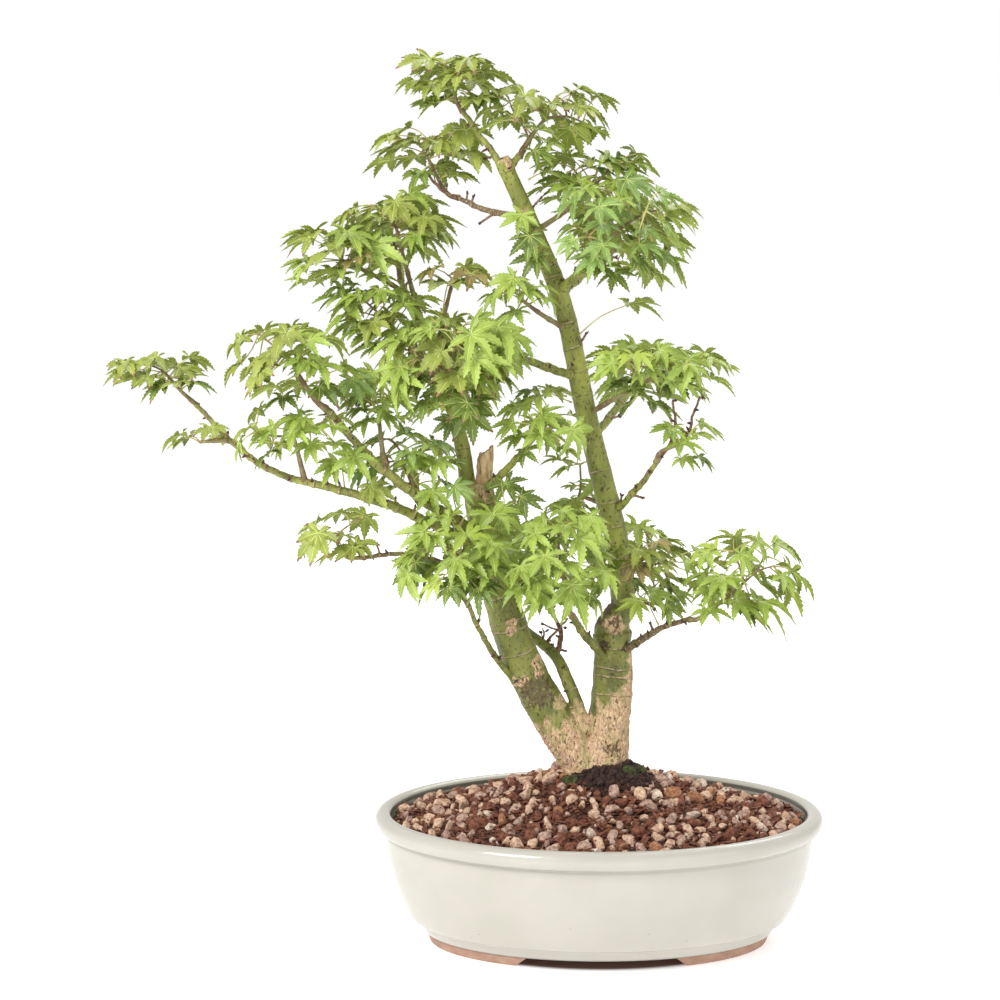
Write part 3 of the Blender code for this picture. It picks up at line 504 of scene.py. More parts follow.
# %% Feel for the soil
TRUNK_X, TRUNK_Y = 1, 32
EDGE_INSET = 14.2
BED_DEPTH = 1.6
SOIL_INWARD = 0.96
ROOT_BALL = 37
MOUND_X, MOUND_Y = 9, 23
MOUND_LIFT = 17
soil_mesh = bpy.data.objects["soil"].data
soil_skin = BVHTree.FromPolygons(
    [vertex.co for vertex in soil_mesh.vertices], [tuple(face.vertices) for face in soil_mesh.polygons]
)


def soil_height(x, y):
    """The height of the bed: a little under the soil's solid, with a moist mound at the trunk."""
    hit, _, _, _ = soil_skin.ray_cast(spot(x * SOIL_INWARD, y * SOIL_INWARD, 300), Vector((0, 0, -1)))
    far = math.hypot(x - MOUND_X, (y - MOUND_Y) * 1.15) / ROOT_BALL
    return hit.z / MM - BED_DEPTH + MOUND_LIFT * max(0, 1 - far) ** 0.8


print("soil at the rim:", round(soil_height(-150, 0)), "mm, by the trunk:", round(soil_height(0, 10)), "mm")

# %% [markdown]
# The bed is rings of points with their heights read from the soil, roughened by a smooth noise.
# Its edge turns down inside the pot, so that it is a closed body.


# %% Cast the bed
def wobble(points, size, shift=0.0):
    """Smooth noise at each point, about from -1 to 1, in lumps of a size."""
    scale = 1 / size
    away = Vector((shift, shift, shift))
    return np.array([noise.noise(Vector(point) * scale + away) for point in points])


bed = Finish("dark_bed", {"Roughness": 0.95})
bed.feed("Base Color", bed.patches(3, (0.045, 0.018, 0.012), (0.13, 0.050, 0.028), 0.4, 0.62, 4))
bed.relief(bed.cloud(1.5, 4), 1.0)
BED_RINGS, BED_SIDES = 44, 160
BED_FLOOR = 26
bed_points = []
for ring in range(1, BED_RINGS + 1):
    reach = ring / BED_RINGS
    for turn in np.arange(BED_SIDES) * math.tau / BED_SIDES:
        x = (POT_HALF_LENGTH - EDGE_INSET) * reach * math.cos(turn)
        bed_points.append((x, (POT_HALF_DEPTH - EDGE_INSET) * reach * math.sin(turn), 0))
bed_points = np.array(bed_points)
bed_points[:, 2] = [soil_height(x, y) for x, y, _ in bed_points] + 0.8 * wobble(bed_points, 7)
middle_point = np.array([[0, 0, soil_height(0, 0)]])
skirt = bed_points[-BED_SIDES:] * (0.9, 0.88, 0)
skirt[:, 2] = BED_FLOOR
bed_points = np.vstack((bed_points, skirt, middle_point))
bed_faces = [(len(bed_points) - 1, j, (j + 1) % BED_SIDES) for j in range(BED_SIDES)]
bed_faces += band_faces(BED_RINGS + 1, BED_SIDES, turned=True)
bed_faces.append(tuple(reversed(range(BED_RINGS * BED_SIDES, (BED_RINGS + 1) * BED_SIDES))))
make_piece("soil_bed", [bed], bed_points, bed_faces, ["soil"])

# %% [markdown]
# A grain of pumice is a lump with broken flats. Its shape is a ball cut back by a few random
# planes, then roughened. A dozen such lumps, turned and stretched at random, pass for hundreds.


# %% Break some pumice
def ball(steps):
    """Points and triangles of a ball of radius 1."""
    bm = bmesh.new()
    bmesh.ops.create_icosphere(bm, subdivisions=steps, radius=1)
    points = np.array([vertex.co[:] for vertex in bm.verts])
    faces = np.array([[vertex.index for vertex in face.verts] for face in bm.faces])
    bm.free()
    return points, faces


ball_points, ball_faces = ball(2)


def lump(seed, planes, depth):
    """A ball cut back by random planes and roughened."""
    rand = np.random.default_rng(seed)
    normals = rand.normal(size=(planes, 3))
    normals /= np.linalg.norm(normals, axis=1)[:, None]
    cuts = rand.uniform(1 - depth, 1.0, planes)
    facing = np.maximum(ball_points @ normals.T, 0.05)
    reach = np.minimum(1.12, (cuts / facing).min(axis=1))
    reach += 0.12 * wobble(ball_points, 0.4, seed)
    return ball_points * reach[:, None]


lumps = [lump(seed, 8, 0.5) for seed in range(12)]
print("a lump has", len(ball_faces), "triangles")

# %% [markdown]
# Each kind of grain has its own finish: beige and grey-pink pumice with pits, a few orange and
# chalky grains, dark red bark, and almost black moist crumbs.


# %% Colour the grains
def grain_finish(name, light, dark, pit):
    """A dry grain: two tones in small patches, with pits."""
    made = Finish(name)
    tone = made.patches(2.6, light, dark, detail=4)
    pits = made.specks(1.5, 0.33) * made.step(made.cloud(2.2), 0.4, 0.6)
    made.feed("Base Color", made.mix(pits * 0.75, tone, pit))
    made.feed("Roughness", 0.82 + 0.15 * made.cloud(2))
    made.relief(made.cloud(0.9, 4) - pits * 0.6, 0.5)
    return made


GRAIN_TONES = {
    "beige_pumice": ((0.80, 0.56, 0.40), (0.50, 0.32, 0.21), (0.13, 0.06, 0.035)),
    "pink_pumice": ((0.60, 0.41, 0.32), (0.33, 0.20, 0.15), (0.09, 0.045, 0.03)),
    "orange_grain": ((0.46, 0.22, 0.11), (0.28, 0.12, 0.06), (0.08, 0.03, 0.02)),
    "chalky_grain": ((0.82, 0.68, 0.55), (0.58, 0.45, 0.35), (0.20, 0.12, 0.08)),
    "bark_chip": ((0.27, 0.098, 0.054), (0.12, 0.043, 0.024), (0.03, 0.01, 0.01)),
    "moist_crumb": ((0.060, 0.028, 0.018), (0.024, 0.012, 0.009), (0.01, 0.01, 0.01)),
}
grain_kinds = {kind: grain_finish(kind, *tones) for kind, tones in GRAIN_TONES.items()}
print("grain finishes:", list(grain_kinds))

# %% [markdown]
# The grains are scattered the large ones first, and one that would sit in another is thrown
# again, a few times. Some patches of the soil, found by a noise, are left to the bark alone.


# %% Scatter the grains
def random_turn(rand):
    """A random rotation matrix."""
    axes, _ = np.linalg.qr(rand.normal(size=(3, 3)))
    return axes * np.sign(np.linalg.det(axes))


def soil_places(rand, count, clear):
    """Random places on the soil, kept clear of the wall and the trunk."""
    places = []
    while len(places) < count:
        x, y = rand.uniform(-1, 1, 2)
        if x * x + y * y > 1:
            continue
        x *= POT_HALF_LENGTH - EDGE_INSET - clear
        y *= POT_HALF_DEPTH - EDGE_INSET - clear
        if math.hypot(x - MOUND_X, y - MOUND_Y) > 0.86 * ROOT_BALL + clear:
            places.append((x, y))
    return np.array(places)


def is_bare(x, y):
    """Whether a place lies in a patch without pumice."""
    return noise.noise(Vector((x, y, 0)) / 26) + 0.6 * noise.noise(Vector((x, y, 50)) / 9) > BARE_PATCH


GRAINS = 1200
THROWS = 12
SMALLEST_GRAIN = 1.8
BARE_PATCH = 0.16
KIND_SHARES = {
    "beige_pumice": 0.42, "pink_pumice": 0.29, "orange_grain": 0.09, "chalky_grain": 0.06, "bark_chip": 0.14,
}
rand = np.random.default_rng(11)
heaps = {kind: Heap() for kind in grain_kinds}
radii = np.sort(SMALLEST_GRAIN + 5.0 * rand.random(GRAINS) ** 1.9)[::-1]
settled = np.zeros((0, 3))
for radius in radii:
    for x, y in soil_places(rand, THROWS, radius):
        away = np.hypot(settled[:, 0] - x, settled[:, 1] - y)
        if not is_bare(x, y) and not (away < 0.86 * (settled[:, 2] + radius)).any():
            break
    else:
        continue
    settled = np.vstack((settled, (x, y, radius)))
    kind = rand.choice(list(KIND_SHARES), p=list(KIND_SHARES.values()))
    shape = lumps[rand.integers(len(lumps))] * (1.05, rand.uniform(0.6, 1), rand.uniform(0.5, 0.85))
    height = soil_height(x, y) + radius * rand.uniform(0.05, 0.5)
    heaps[kind].add(shape * radius @ random_turn(rand).T + (x, y, height), ball_faces)
print(len(settled), "grains settled")

# %% [markdown]
# Close to the trunk the old root ball shows instead: a low mound of dark moist crumbs. A crumb is
# a small rough ball, most of them tiny.

# %% Crumble the root ball
CRUMBS = 1700
crumb_points, crumb_faces = ball(1)
for _ in range(CRUMBS):
    turn = rand.uniform(0, math.tau)
    far = rand.uniform(12, ROOT_BALL + 5)
    x, y = MOUND_X + far * math.cos(turn), MOUND_Y + far * math.sin(turn)
    radius = rand.uniform(0.6, 2.0) if rand.random() < 0.85 else rand.uniform(2, 4.2)
    crumb = crumb_points * rand.uniform(0.6, 1.1, (1, 3)) * rand.uniform(0.8, 1.2, (len(crumb_points), 1))
    place = (x, y, soil_height(x, y) + rand.uniform(-0.2, 0.7) * radius)
    heaps["moist_crumb"].add(crumb * radius @ random_turn(rand).T + place, crumb_faces)
print(CRUMBS, "crumbs on the root ball")

# %% [markdown]
# Flat chips of bark and short fibres fill what is left. A chip is a box with a row of points
# across its middle, so that it can bend, and each corner is moved a little.

# %% Chop the bark
CHIPS = 4200
chip_points = np.array([(x, y, z) for x in (-1, 0, 1) for y in (-1, 1) for z in (-1, 1)], float)
chip_sides = [
    (0, 1, 3, 2), (8, 10, 11, 9), (0, 4, 5, 1), (4, 8, 9, 5), (2, 3, 7, 6), (6, 7, 11, 10),
    (0, 2, 6, 4), (4, 6, 10, 8), (1, 5, 7, 3), (5, 9, 11, 7),
]
chip_faces = [face for a, b, c, d in chip_sides for face in ((a, b, c), (a, c, d))]
for x, y in soil_places(rand, CHIPS, 2):
    long = rand.uniform(1.0, 3.4) if rand.random() < 0.9 else rand.uniform(3.5, 7.0)
    size = np.array((long, long * rand.uniform(0.2, 0.6), rand.uniform(0.25, 0.7)))
    bent = chip_points * size * rand.uniform(0.7, 1.25, chip_points.shape)
    lying = Matrix.Rotation(rand.uniform(0, math.tau), 3, "Z")
    tilt = lying @ Matrix.Rotation(rand.uniform(-0.7, 0.7), 3, "Y")
    height = soil_height(x, y) + rand.uniform(0.2, 2.6)
    heaps["bark_chip"].add(bent @ np.array(tilt).T + (x, y, height), chip_faces)
for kind, heap in heaps.items():
    heap.piece(kind, "grit_soil", [grain_kinds[kind]], crisp=True)

# %% [markdown]
# A little moss grows where the mound stays moist: four cushions at the trunk's foot. A cushion is
# a crowd of short green needles, each a thin cone, longer in its middle.

# %% Plant the moss
moss_green = Finish("moss", {"Roughness": 0.8})
moss_green.feed("Base Color", moss_green.patches(3, (0.16, 0.17, 0.05), (0.05, 0.065, 0.02), 0.4, 0.6))
MOSS = [(25, 9, 5.5), (-21, 6, 4.5), (-26, 9, 4), (34, 22, 4)]
NEEDLES = 240
NEEDLE_THICK = 0.45
moss = Heap()
for middle_x, middle_y, size in MOSS:
    for _ in range(NEEDLES):
        turn = rand.uniform(0, math.tau)
        far = size * rand.random() ** 0.6 * rand.uniform(0.8, 1.3)
        x, y = middle_x + far * math.cos(turn), middle_y + far * math.sin(turn)
        tall = 3.4 - 2.2 * (far / size) ** 2
        foot = np.array((x, y, soil_height(x, y) + 1))
        tip = foot + (rand.uniform(-1, 1), rand.uniform(-1, 1), tall + 1.5)
        around = [(math.cos(a), math.sin(a), 0) for a in (turn, turn + 2.1, turn + 4.2)]
        corners = [foot + NEEDLE_THICK * np.array(way) for way in around]
        moss.add([*corners, tip], [(0, 1, 3), (1, 2, 3), (2, 0, 3), (0, 2, 1)])
moss.piece("moss_cushions", "leaf", [moss_green])

# %% [markdown]
# ## The wood
# Two stems rise from one foot and lean apart. Slim boughs leave them. Each limb is a route
# through a few guide points and a half thickness at both ends, the same ones that its solid has.

# %% Routes of the limbs
STEMS = {
    "left_stem": ([(-3, 31, 104), (-12, 30, 135), (-31, 29, 164), (-54, 26, 205), (-71, 24, 248),
                   (-88, 28, 316), (-96, 31, 362)], 17.5, 11.9),
    "right_stem": ([(6, 33, 104), (8, 34, 157), (11, 36, 190), (12, 38, 220), (10, 38, 262)], 18.5, 13.8),
    "right_leader": ([(10, 38, 244), (19, 37, 262), (14, 34, 315), (-9, 38, 410), (-28, 42, 498),
                      (-50, 38, 555), (-77, 34, 615)], 10.2, 6.2),
    "left_leader": ([(-103, 31, 354), (-109, 34, 395), (-129, 46, 460), (-147, 50, 497)], 6.6, 4.2),
    "middle_stem": ([(-8, 28, 160), (-25, 30, 204), (-36, 44, 222), (-60, 62, 238), (-82, 82, 254)],
                    5.6, 3.4),
}
DEAD_STUB = ([(-91, 30, 354), (-89, 30, 389)], 6.2, 5.2)
BOUGHS = {
    "thin_shoot": ([(-60, 24, 196), (-80, 10, 223), (-95, -6, 252), (-103, -15, 272)], 2.9, 1.8),
    "long_bough": ([(-86, 28, 305), (-134, 5, 334), (-182, -12, 356), (-246, -5, 372), (-283, 5, 393),
                    (-315, 18, 425)], 4.8, 1.9),
    "left_bough": ([(-91, 29, 318), (-132, 0, 348), (-174, -20, 384), (-212, -30, 428)], 5.4, 2.6),
    "low_left_twig": ([(-82, 26, 285), (-146, 0, 308), (-186, -14, 309)], 2.6, 1.7),
    "inner_bough": ([(-95, 30, 352), (-76, 8, 372), (-64, -8, 386)], 3.5, 2.7),
    "apex_left_shoot": ([(-76, 34, 608), (-95, 32, 635), (-108, 30, 652)], 2.8, 1.9),
    "apex_right_shoot": ([(-73, 35, 602), (-62, 42, 617)], 3.1, 2.6),
    "upper_left_bough": ([(-58, 37, 570), (-86, 47, 573), (-112, 58, 584)], 3.0, 2.0),
    "upper_right_bough": ([(-33, 41, 510), (-20, 24, 524), (-12, 10, 535)], 3.7, 3.0),
    "crossing_bough": ([(-14, 40, 442), (-43, 15, 455), (-64, -6, 464)], 3.7, 2.9),
    "right_bough": ([(10, 34, 334), (31, 10, 362), (44, -6, 384)], 3.1, 2.1),
    "low_right_bough": ([(12, 38, 217), (46, 18, 246), (72, 9, 256)], 3.8, 2.0),
    "low_front_bough": ([(11, 37, 212), (-8, 14, 238), (-22, -8, 262)], 3.6, 2.7),
    "back_left_bough": ([(-112, 36, 408), (-122, 74, 424), (-128, 102, 432)], 3.6, 2.6),
    "back_right_bough": ([(-4, 37, 398), (18, 74, 418), (30, 102, 428)], 3.6, 2.6),
    "back_upper_bough": ([(-30, 42, 508), (-8, 70, 526), (8, 92, 536)], 3.4, 2.4),
    "back_top_bough": ([(-137, 48, 477), (-150, 76, 500), (-158, 100, 516)], 3.0, 2.4),
}
RING_STEP = 1.2
routes = {}
for name, (guides, start, stop) in {**STEMS, "dead_stub": DEAD_STUB, **BOUGHS}.items():
    route = smooth(guides, RING_STEP)
    routes[name] = (route, np.linspace(start, stop, len(route)))
print(len(routes), "limbs,", sum(len(route) for route, _ in routes.values()), "rings")

# %% [markdown]
# A limb is swept: a ring of points is carried along the route and turned with it, with no twist.


# %% Sweep a limb
def directions(route):
    """The way ahead at each point of a route, each 1 long."""
    along = np.gradient(route, axis=0)
    return along / np.linalg.norm(along, axis=1)[:, None]


def sweep(route, radii, sides):
    """Points and triangles of a round limb along a route, closed at both ends."""
    route = np.asarray(route, float)
    along = directions(route)
    side = np.cross(along[0], (0, 0, 1) if abs(along[0][2]) < 0.9 else (1, 0, 0))
    turns = np.arange(sides) * math.tau / sides
    rings = []
    for place, ahead, radius in zip(route, along, radii):
        side = side - ahead * side.dot(ahead)
        side /= np.linalg.norm(side)
        up = np.cross(ahead, side)
        rings.append(place + radius * (np.outer(np.cos(turns), side) + np.outer(np.sin(turns), up)))
    points = np.vstack(rings + [route[:1], route[-1:]])
    here = np.arange(sides)
    following = (here + 1) % sides
    start, stop = len(points) - 2, len(points) - 1
    faces = [np.column_stack((np.full(sides, start), following, here))]
    for i in range(len(route) - 1):
        low, high = i * sides, (i + 1) * sides
        faces.append(np.column_stack((low + here, low + following, high + following)))
        faces.append(np.column_stack((low + here, high + following, high + here)))
    last = (len(route) - 1) * sides
    faces.append(np.column_stack((np.full(sides, stop), last + here, last + following)))
    return points, np.vstack(faces)


# %% [markdown]
# The trunk, the stems and the leader are one mass of wood with no seams, so their sweeps and a few
# root lobes are melted together by a fine Remesh and smoothed. The right stem's old saw cut is
# made before that, with a plane.


# %% Cut the old stem
def cut_by_plane(points, faces, place, outward):
    """Cuts away what lies outward of a plane and closes the hole."""
    bm = bmesh.new()
    made = [bm.verts.new(point) for point in points]
    for face in faces:
        bm.faces.new([made[i] for i in face])
    everything = bm.verts[:] + bm.edges[:] + bm.faces[:]
    bmesh.ops.bisect_plane(bm, geom=everything, plane_co=place, plane_no=outward, clear_outer=True)
    bmesh.ops.holes_fill(bm, edges=[edge for edge in bm.edges if edge.is_boundary])
    bmesh.ops.triangulate(bm, faces=bm.faces)
    bm.verts.index_update()
    kept = np.array([vertex.co[:] for vertex in bm.verts])
    sides = np.array([[vertex.index for vertex in face.verts] for face in bm.faces])
    bm.free()
    return kept, sides


STEM_SIDES = 28
STUMP_CUT_EDGE = np.array((3, 38, 254))
STUMP_CUT_SLOPE = math.radians(55)
CUT_OUTWARD = np.array((-math.sin(STUMP_CUT_SLOPE), 0, math.cos(STUMP_CUT_SLOPE)))
FLARE_GUIDES = [(1, 32, 112), (1, 32, 126), (1, 32, 142), (-2, 31, 158)]
FLARE_THICK = (29, 14)
stems = Heap()
flare = smooth(FLARE_GUIDES, 3)
stems.add(*sweep(flare, np.linspace(*FLARE_THICK, len(flare)), STEM_SIDES))
print("the stump is cut at", round(math.degrees(STUMP_CUT_SLOPE)), "degrees")

# %% [markdown]
# A root lobe is a short sweep down and out from the trunk, given by its turn round the trunk, how
# far out it goes and its thickness. The Remesh modifier turns all that overlaps into one skin.

# %% Join the stems
ROOTS = [
    (190, 24, 8), (228, 24, 7), (262, 23, 7.5), (300, 26, 8), (335, 28, 8.5), (5, 30, 8.5), (60, 27, 8),
    (125, 25, 8),
]
MELT_SIZE = 1.15
for turn, far, thick in ROOTS:
    outward = np.array((math.cos(math.radians(turn)), math.sin(math.radians(turn)) * 0.9, 0))
    foot = np.array((TRUNK_X, TRUNK_Y, 0))
    high, middle, low = foot + outward * 9, foot + outward * far * 0.66, foot + outward * far
    lobe = smooth([high + (0, 0, 150), middle + (0, 0, 131), low + (0, 0, 116)], 3)
    stems.add(*sweep(lobe, np.linspace(thick * 0.8, thick, len(lobe)), 16))
for name in STEMS:
    route, radii = routes[name]
    body = sweep(route[::3], radii[::3], STEM_SIDES)
    if name == "right_stem":
        body = cut_by_plane(*body, STUMP_CUT_EDGE, CUT_OUTWARD)
    stems.add(*body)
rough = bpy.data.meshes.new("rough_stems")
rough.from_pydata(np.vstack(stems.points).tolist(), [], np.vstack(stems.faces).tolist())
rough_stems = bpy.data.objects.new("rough_stems", rough)
bpy.context.scene.collection.objects.link(rough_stems)
melt = rough_stems.modifiers.new("melt", "REMESH")
melt.mode = "VOXEL"
melt.voxel_size = MELT_SIZE
soften = rough_stems.modifiers.new("soften", "SMOOTH")
soften.factor = 0.5
soften.iterations = 5
graph = bpy.context.evaluated_depsgraph_get()
melted = bpy.data.meshes.new_from_object(rough_stems.evaluated_get(graph))
bpy.data.objects.remove(rough_stems)
wood_points = np.array([vertex.co[:] for vertex in melted.vertices])
wood_normals = np.array([vertex.normal[:] for vertex in melted.vertices])
wood_faces = [tuple(polygon.vertices) for polygon in melted.polygons]
print("the melted stems have", len(wood_points), "points")

# %% [markdown]
# Maple bark is smooth and green when young, and low on the trunk it turns to tan cork with fine
# upright cracks. So each point is told its stem, the age of its bark goes by height, and old bark
# is lifted and sunk by noises that are drawn out upwards. What moves the surface is also painted
# on its points, so that colour and relief agree.

# %% Age the bark
CORK_HEIGHTS = {"left_stem": (150, 192), "right_stem": (168, 210), "middle_stem": (164, 192)}
USUAL_CORK = (130, 150)
nearest = KDTree(sum(len(routes[name][0]) for name in STEMS))
samples = []
for name in STEMS:
    for place in routes[name][0]:
        nearest.insert(place, len(samples))
        samples.append((name, place))
nearest.balance()
owner = [samples[nearest.find(point)[1]] for point in wood_points]
coarse = wobble(wood_points, 11)
medium = wobble(wood_points, 4.5, 3.1)
upright = wobble(wood_points * (1, 1, 0.16), 1.5, 7.7)
fine = wobble(wood_points, 1.7, 5.3)
age = np.zeros(len(wood_points))
for i, (name, place) in enumerate(owner):
    low, high = CORK_HEIGHTS.get(name, USUAL_CORK)
    age[i] = 1 - (wood_points[i][2] + 22 * coarse[i] - low) / (high - low)
age = np.clip(age, 0, 1)
lift = age * (1.1 * upright + 0.7 * medium + 0.4 * fine) + (1 - age) * (0.16 * medium + 0.08 * upright)
print("a share of", round(float(age.mean()), 2), "of the bark is cork")

# %% [markdown]
# Where shoots were cut back, maple bark keeps rings of tan ridges. They sit where the photograph's
# tree has them. Each is a plane through the stem, slightly tilted, and the points near it are
# lifted: a narrow ridge on a wide low swelling.

# %% Raise the rings
RING_HEIGHTS = {
    "left_stem": (190, 211, 228, 246, 252, 270, 290, 318, 345),
    "right_stem": (190.6, 205.2, 213, 230),
    "right_leader": (284, 303, 327, 346, 370, 430, 448, 468, 487, 524, 532, 573, 606),
    "left_leader": (388, 424, 442, 478),
    "middle_stem": (183, 196, 210, 224, 236),
}
NO_RING = 9.0
ring = np.full(len(wood_points), NO_RING)
near_ring = np.zeros(len(wood_points))
for name, heights in RING_HEIGHTS.items():
    route, radii = routes[name]
    along = directions(route)
    for number, height in enumerate(heights):
        i = int(np.abs(route[:, 2] - height).argmin())
        tilt = along[i] + 0.1 * np.array((math.sin(7 * number), math.cos(5 * number), 0))
        offset = wood_points - route[i]
        above = offset @ (tilt / np.linalg.norm(tilt)) + 0.5 * medium
        close = np.linalg.norm(offset, axis=1) < 1.45 * radii[i] + 2
        band = np.exp(-(above / 1.2) ** 2) * close
        swell = np.exp(-(above / 5) ** 2) * close
        lift += 0.25 * band + 0.025 * radii[i] * swell
        nearer = close & (np.abs(above) < np.abs(ring))
        ring = np.where(nearer, above, ring)
        near_ring = np.maximum(near_ring, np.exp(-(above / 3) ** 2) * close)
print(sum(len(heights) for heights in RING_HEIGHTS.values()), "rings raised")

# %% [markdown]
# Last come the scars: tan calluses and dark stains on the front of the stems, the swollen and
# ragged edge of the old saw cut, and the small hollow cut at the leader's top.

# %% Mark the scars and the cuts
NODE_HEIGHT = 230
SPOTS = {
    "tan": [(-71, 247, 3.6), (-69, 253, 2.6), (-47, 223, 2.8), (-49, 217, 2.8), (-48, 211, 3.2),
            (-58, 206, 3.4), (-66, 203, 4), (24, 192, 8), (26, 206, 5), (27, 218, 4), (-60, 571, 5),
            (-72, 615, 6), (-92, 358, 8), (-6, 160, 9), (-18, 158, 8), (13, 249, 7), (-60, 272, 3),
            (-59, 264, 3), (-30, 187, 5)],
    "stain": [(-55, 199, 8), (-46, 192, 8), (-44, 204, 5), (12, 149, 4), (13, 250, 4), (-79, 619, 4),
              (2, 230, 5), (24, 231, 4)],
}
front = wood_points[:, 1] < np.array([place[1] for _, place in owner]) + 2
painted = {}
for kind, spots in SPOTS.items():
    painted[kind] = np.zeros(len(wood_points))
    for x, z, size in spots:
        away = np.hypot(wood_points[:, 0] - x, wood_points[:, 2] - z) + 3.5 * medium
        painted[kind] = np.maximum(painted[kind], np.clip(1.6 - away / size, 0, 1) * front)
tall = wood_points[:, 2]
on_stump = np.array([name == "right_stem" for name, _ in owner]) & (tall > 222)
lift += on_stump * 1.9 * np.exp(-((tall - 243) / 9) ** 2)
lift -= on_stump * 1.3 * np.exp(-((tall - NODE_HEIGHT - 2 * coarse) / 1.7) ** 2)
from_cut = np.abs((wood_points - STUMP_CUT_EDGE) @ CUT_OUTWARD)
ragged = on_stump * np.clip(1.5 - (from_cut + 2 * medium) / 2.6, 0, 1) * (tall > 238)
painted["stain"] = np.maximum(painted["stain"], ragged)
on_cut = (from_cut < 1.3) & (wood_normals @ CUT_OUTWARD > 0.75) & (tall > 236)
leader_top = routes["right_leader"][0][-1]
hollow = np.clip(1 - np.linalg.norm(wood_points - leader_top, axis=1) / 4.2, 0, 1)
cut = np.maximum(on_cut * 1.0, hollow)
lift += painted["tan"] * (0.25 * upright + 0.25) - painted["stain"] * 0.8
lift -= on_cut * (0.6 + 1.1 * fine) + 3.4 * hollow
wood_points = wood_points + wood_normals * lift[:, None]
age = np.maximum(age, painted["tan"])
print("bark lifted by", round(float(lift.min()), 1), "to", round(float(lift.max()), 1), "mm")

# %% [markdown]
# The bark's colour follows the painted marks. Green bark is two greens in long patches, darker low on the
# stems as painted shade, with tan flecks, short slits and black specks.

# %% Colour the green bark
UPWARDS = (1, 1, 0.35)
bark = Finish("green_and_tan_bark", {"IOR": 1.45})
old = bark.step(bark.mark("age") + 1.1 * bark.cloud(5, 5, (1, 1, 0.4)) - 0.55, 0.25, 0.7)
long_patches = bark.step(bark.cloud(12, 4, UPWARDS), 0.34, 0.66)
green = bark.mix(long_patches, (0.345, 0.375, 0.070), (0.195, 0.215, 0.040))
# Lower on the stems the green is darkened: painted shade.
shaded_green = bark.mix(long_patches, (0.165, 0.180, 0.034), (0.085, 0.092, 0.018))
low_wood = 1 - bark.step(bark.height() + 60 * bark.cloud(30), 262, 345)
green = bark.mix(low_wood * 0.6, green, shaded_green)
flecks = bark.step(bark.cloud(3.2, 3, (1, 1, 0.45)), 0.58, 0.68)
green = bark.mix(flecks * 0.4, green, (0.40, 0.33, 0.14))
slits = bark.step(bark.cloud(2.1, 2, (1, 1, 2.6)), 0.62, 0.68)
green = bark.mix(slits * 0.5, green, (0.40, 0.32, 0.16))
green = bark.mix(bark.specks(4.6, 0.42) * 0.85, green, (0.030, 0.022, 0.010))
print("the green bark has", len(bark.tree.nodes), "nodes")

# %% [markdown]
# Cork is tan, with pink and green patches, pale flakes, and brown cracks between its plates. On
# slim boughs it is darker and browner, which the painted value slim tells.

# %% Colour the cork
grain = bark.step(bark.cloud(1.0, 5, (1, 1, 0.45)), 0.36, 0.64)
cork = bark.mix(grain, (0.47, 0.30, 0.155), (0.80, 0.57, 0.35))
cork = bark.mix(bark.step(bark.cloud(8, 4), 0.5, 0.62) * 0.5, cork, (0.64, 0.40, 0.29))
flakes = bark.step(bark.cloud(1.8, 5, (1, 1, 0.4)), 0.55, 0.63)
cork = bark.mix(flakes * 0.7, cork, (0.88, 0.70, 0.45))
mossy = bark.step(bark.cloud(13, 5, (1, 1, 0.6)), 0.5, 0.62)
cork = bark.mix(mossy * 0.55, cork, (0.40, 0.37, 0.14))
slim_cork = bark.mix(grain, (0.13, 0.085, 0.05), (0.33, 0.24, 0.15))
cork = bark.mix(bark.mark("slim"), cork, slim_cork)
plates = {"Vector": bark.place((1, 1, 0.55)), "Scale": 1 / 6.5}
plate_edge = bark.node("TexVoronoi", {"feature": "DISTANCE_TO_EDGE"}, plates, "Distance")
cracks = (1 - bark.step(plate_edge, 0.01, 0.07)) * bark.step(bark.cloud(7, 3), 0.46, 0.56) * 0.6
cracks = cracks + bark.step(bark.cloud(1.3, 4, (1, 1, 0.14)), 0.55, 0.66) * 0.8
cork = bark.mix(cracks * 0.55, cork, (0.21, 0.125, 0.065))
tone = bark.mix(old, green, cork)
print("with its cork it has", len(bark.tree.nodes), "nodes")

# %% [markdown]
# A ring is a broken tan line with a dark one under it, which is a painted shadow below its ridge. Both come
# from the painted distance to the nearest ring, squared so that it counts on both sides. Stains and sawn
# wood go over all.

# %% Colour the rings and scars
dashes = bark.step(bark.cloud(3.4, 3), 0.45, 0.53)
aside = bark.mark("ring") + 1.8 * bark.cloud(7) - 0.9
close = bark.step(bark.mark("near_ring"), 0.3, 0.6)
ring_line = (1 - bark.step(aside * aside, 0.06, 0.55)) * close
# The dark line just under each ring is a painted shadow below its ridge.
under = aside + 1.0
ring_shadow_line = (1 - bark.step(under * under, 0.05, 0.5)) * close
tone = bark.mix(ring_shadow_line * (0.2 + 0.4 * dashes), tone, (0.06, 0.045, 0.02))
tone = bark.mix(ring_line * (0.1 + 0.9 * dashes) * 0.85, tone, (0.54, 0.40, 0.24))
blots = bark.cloud(2.2, 5, (1, 1, 0.7))
stain = bark.step(bark.mark("stain") + 4.4 * blots - 2.2, 0.3, 0.75)
stain_tone = bark.mix(bark.step(blots, 0.5, 0.62), (0.13, 0.085, 0.04), (0.05, 0.035, 0.016))
tone = bark.mix(stain * 0.85, tone, stain_tone)
sawn = bark.patches(2.2, (0.085, 0.055, 0.032), (0.24, 0.16, 0.09), 0.4, 0.6, 4)
bark.feed("Base Color", bark.mix(bark.mark("cut"), tone, sawn))
bark.feed("Roughness", 0.5 + 0.3 * old)
bark.relief(bark.cloud(1.1, 4, (1, 1, 0.3)) - cracks * old * 0.8 + ring_line * dashes * 0.6, 0.4)
marks = {
    "age": age, "ring": ring, "near_ring": near_ring, "stain": painted["stain"], "cut": cut, "slim": 0 * age,
}
stem_nodes = ["trunk", *STEMS]
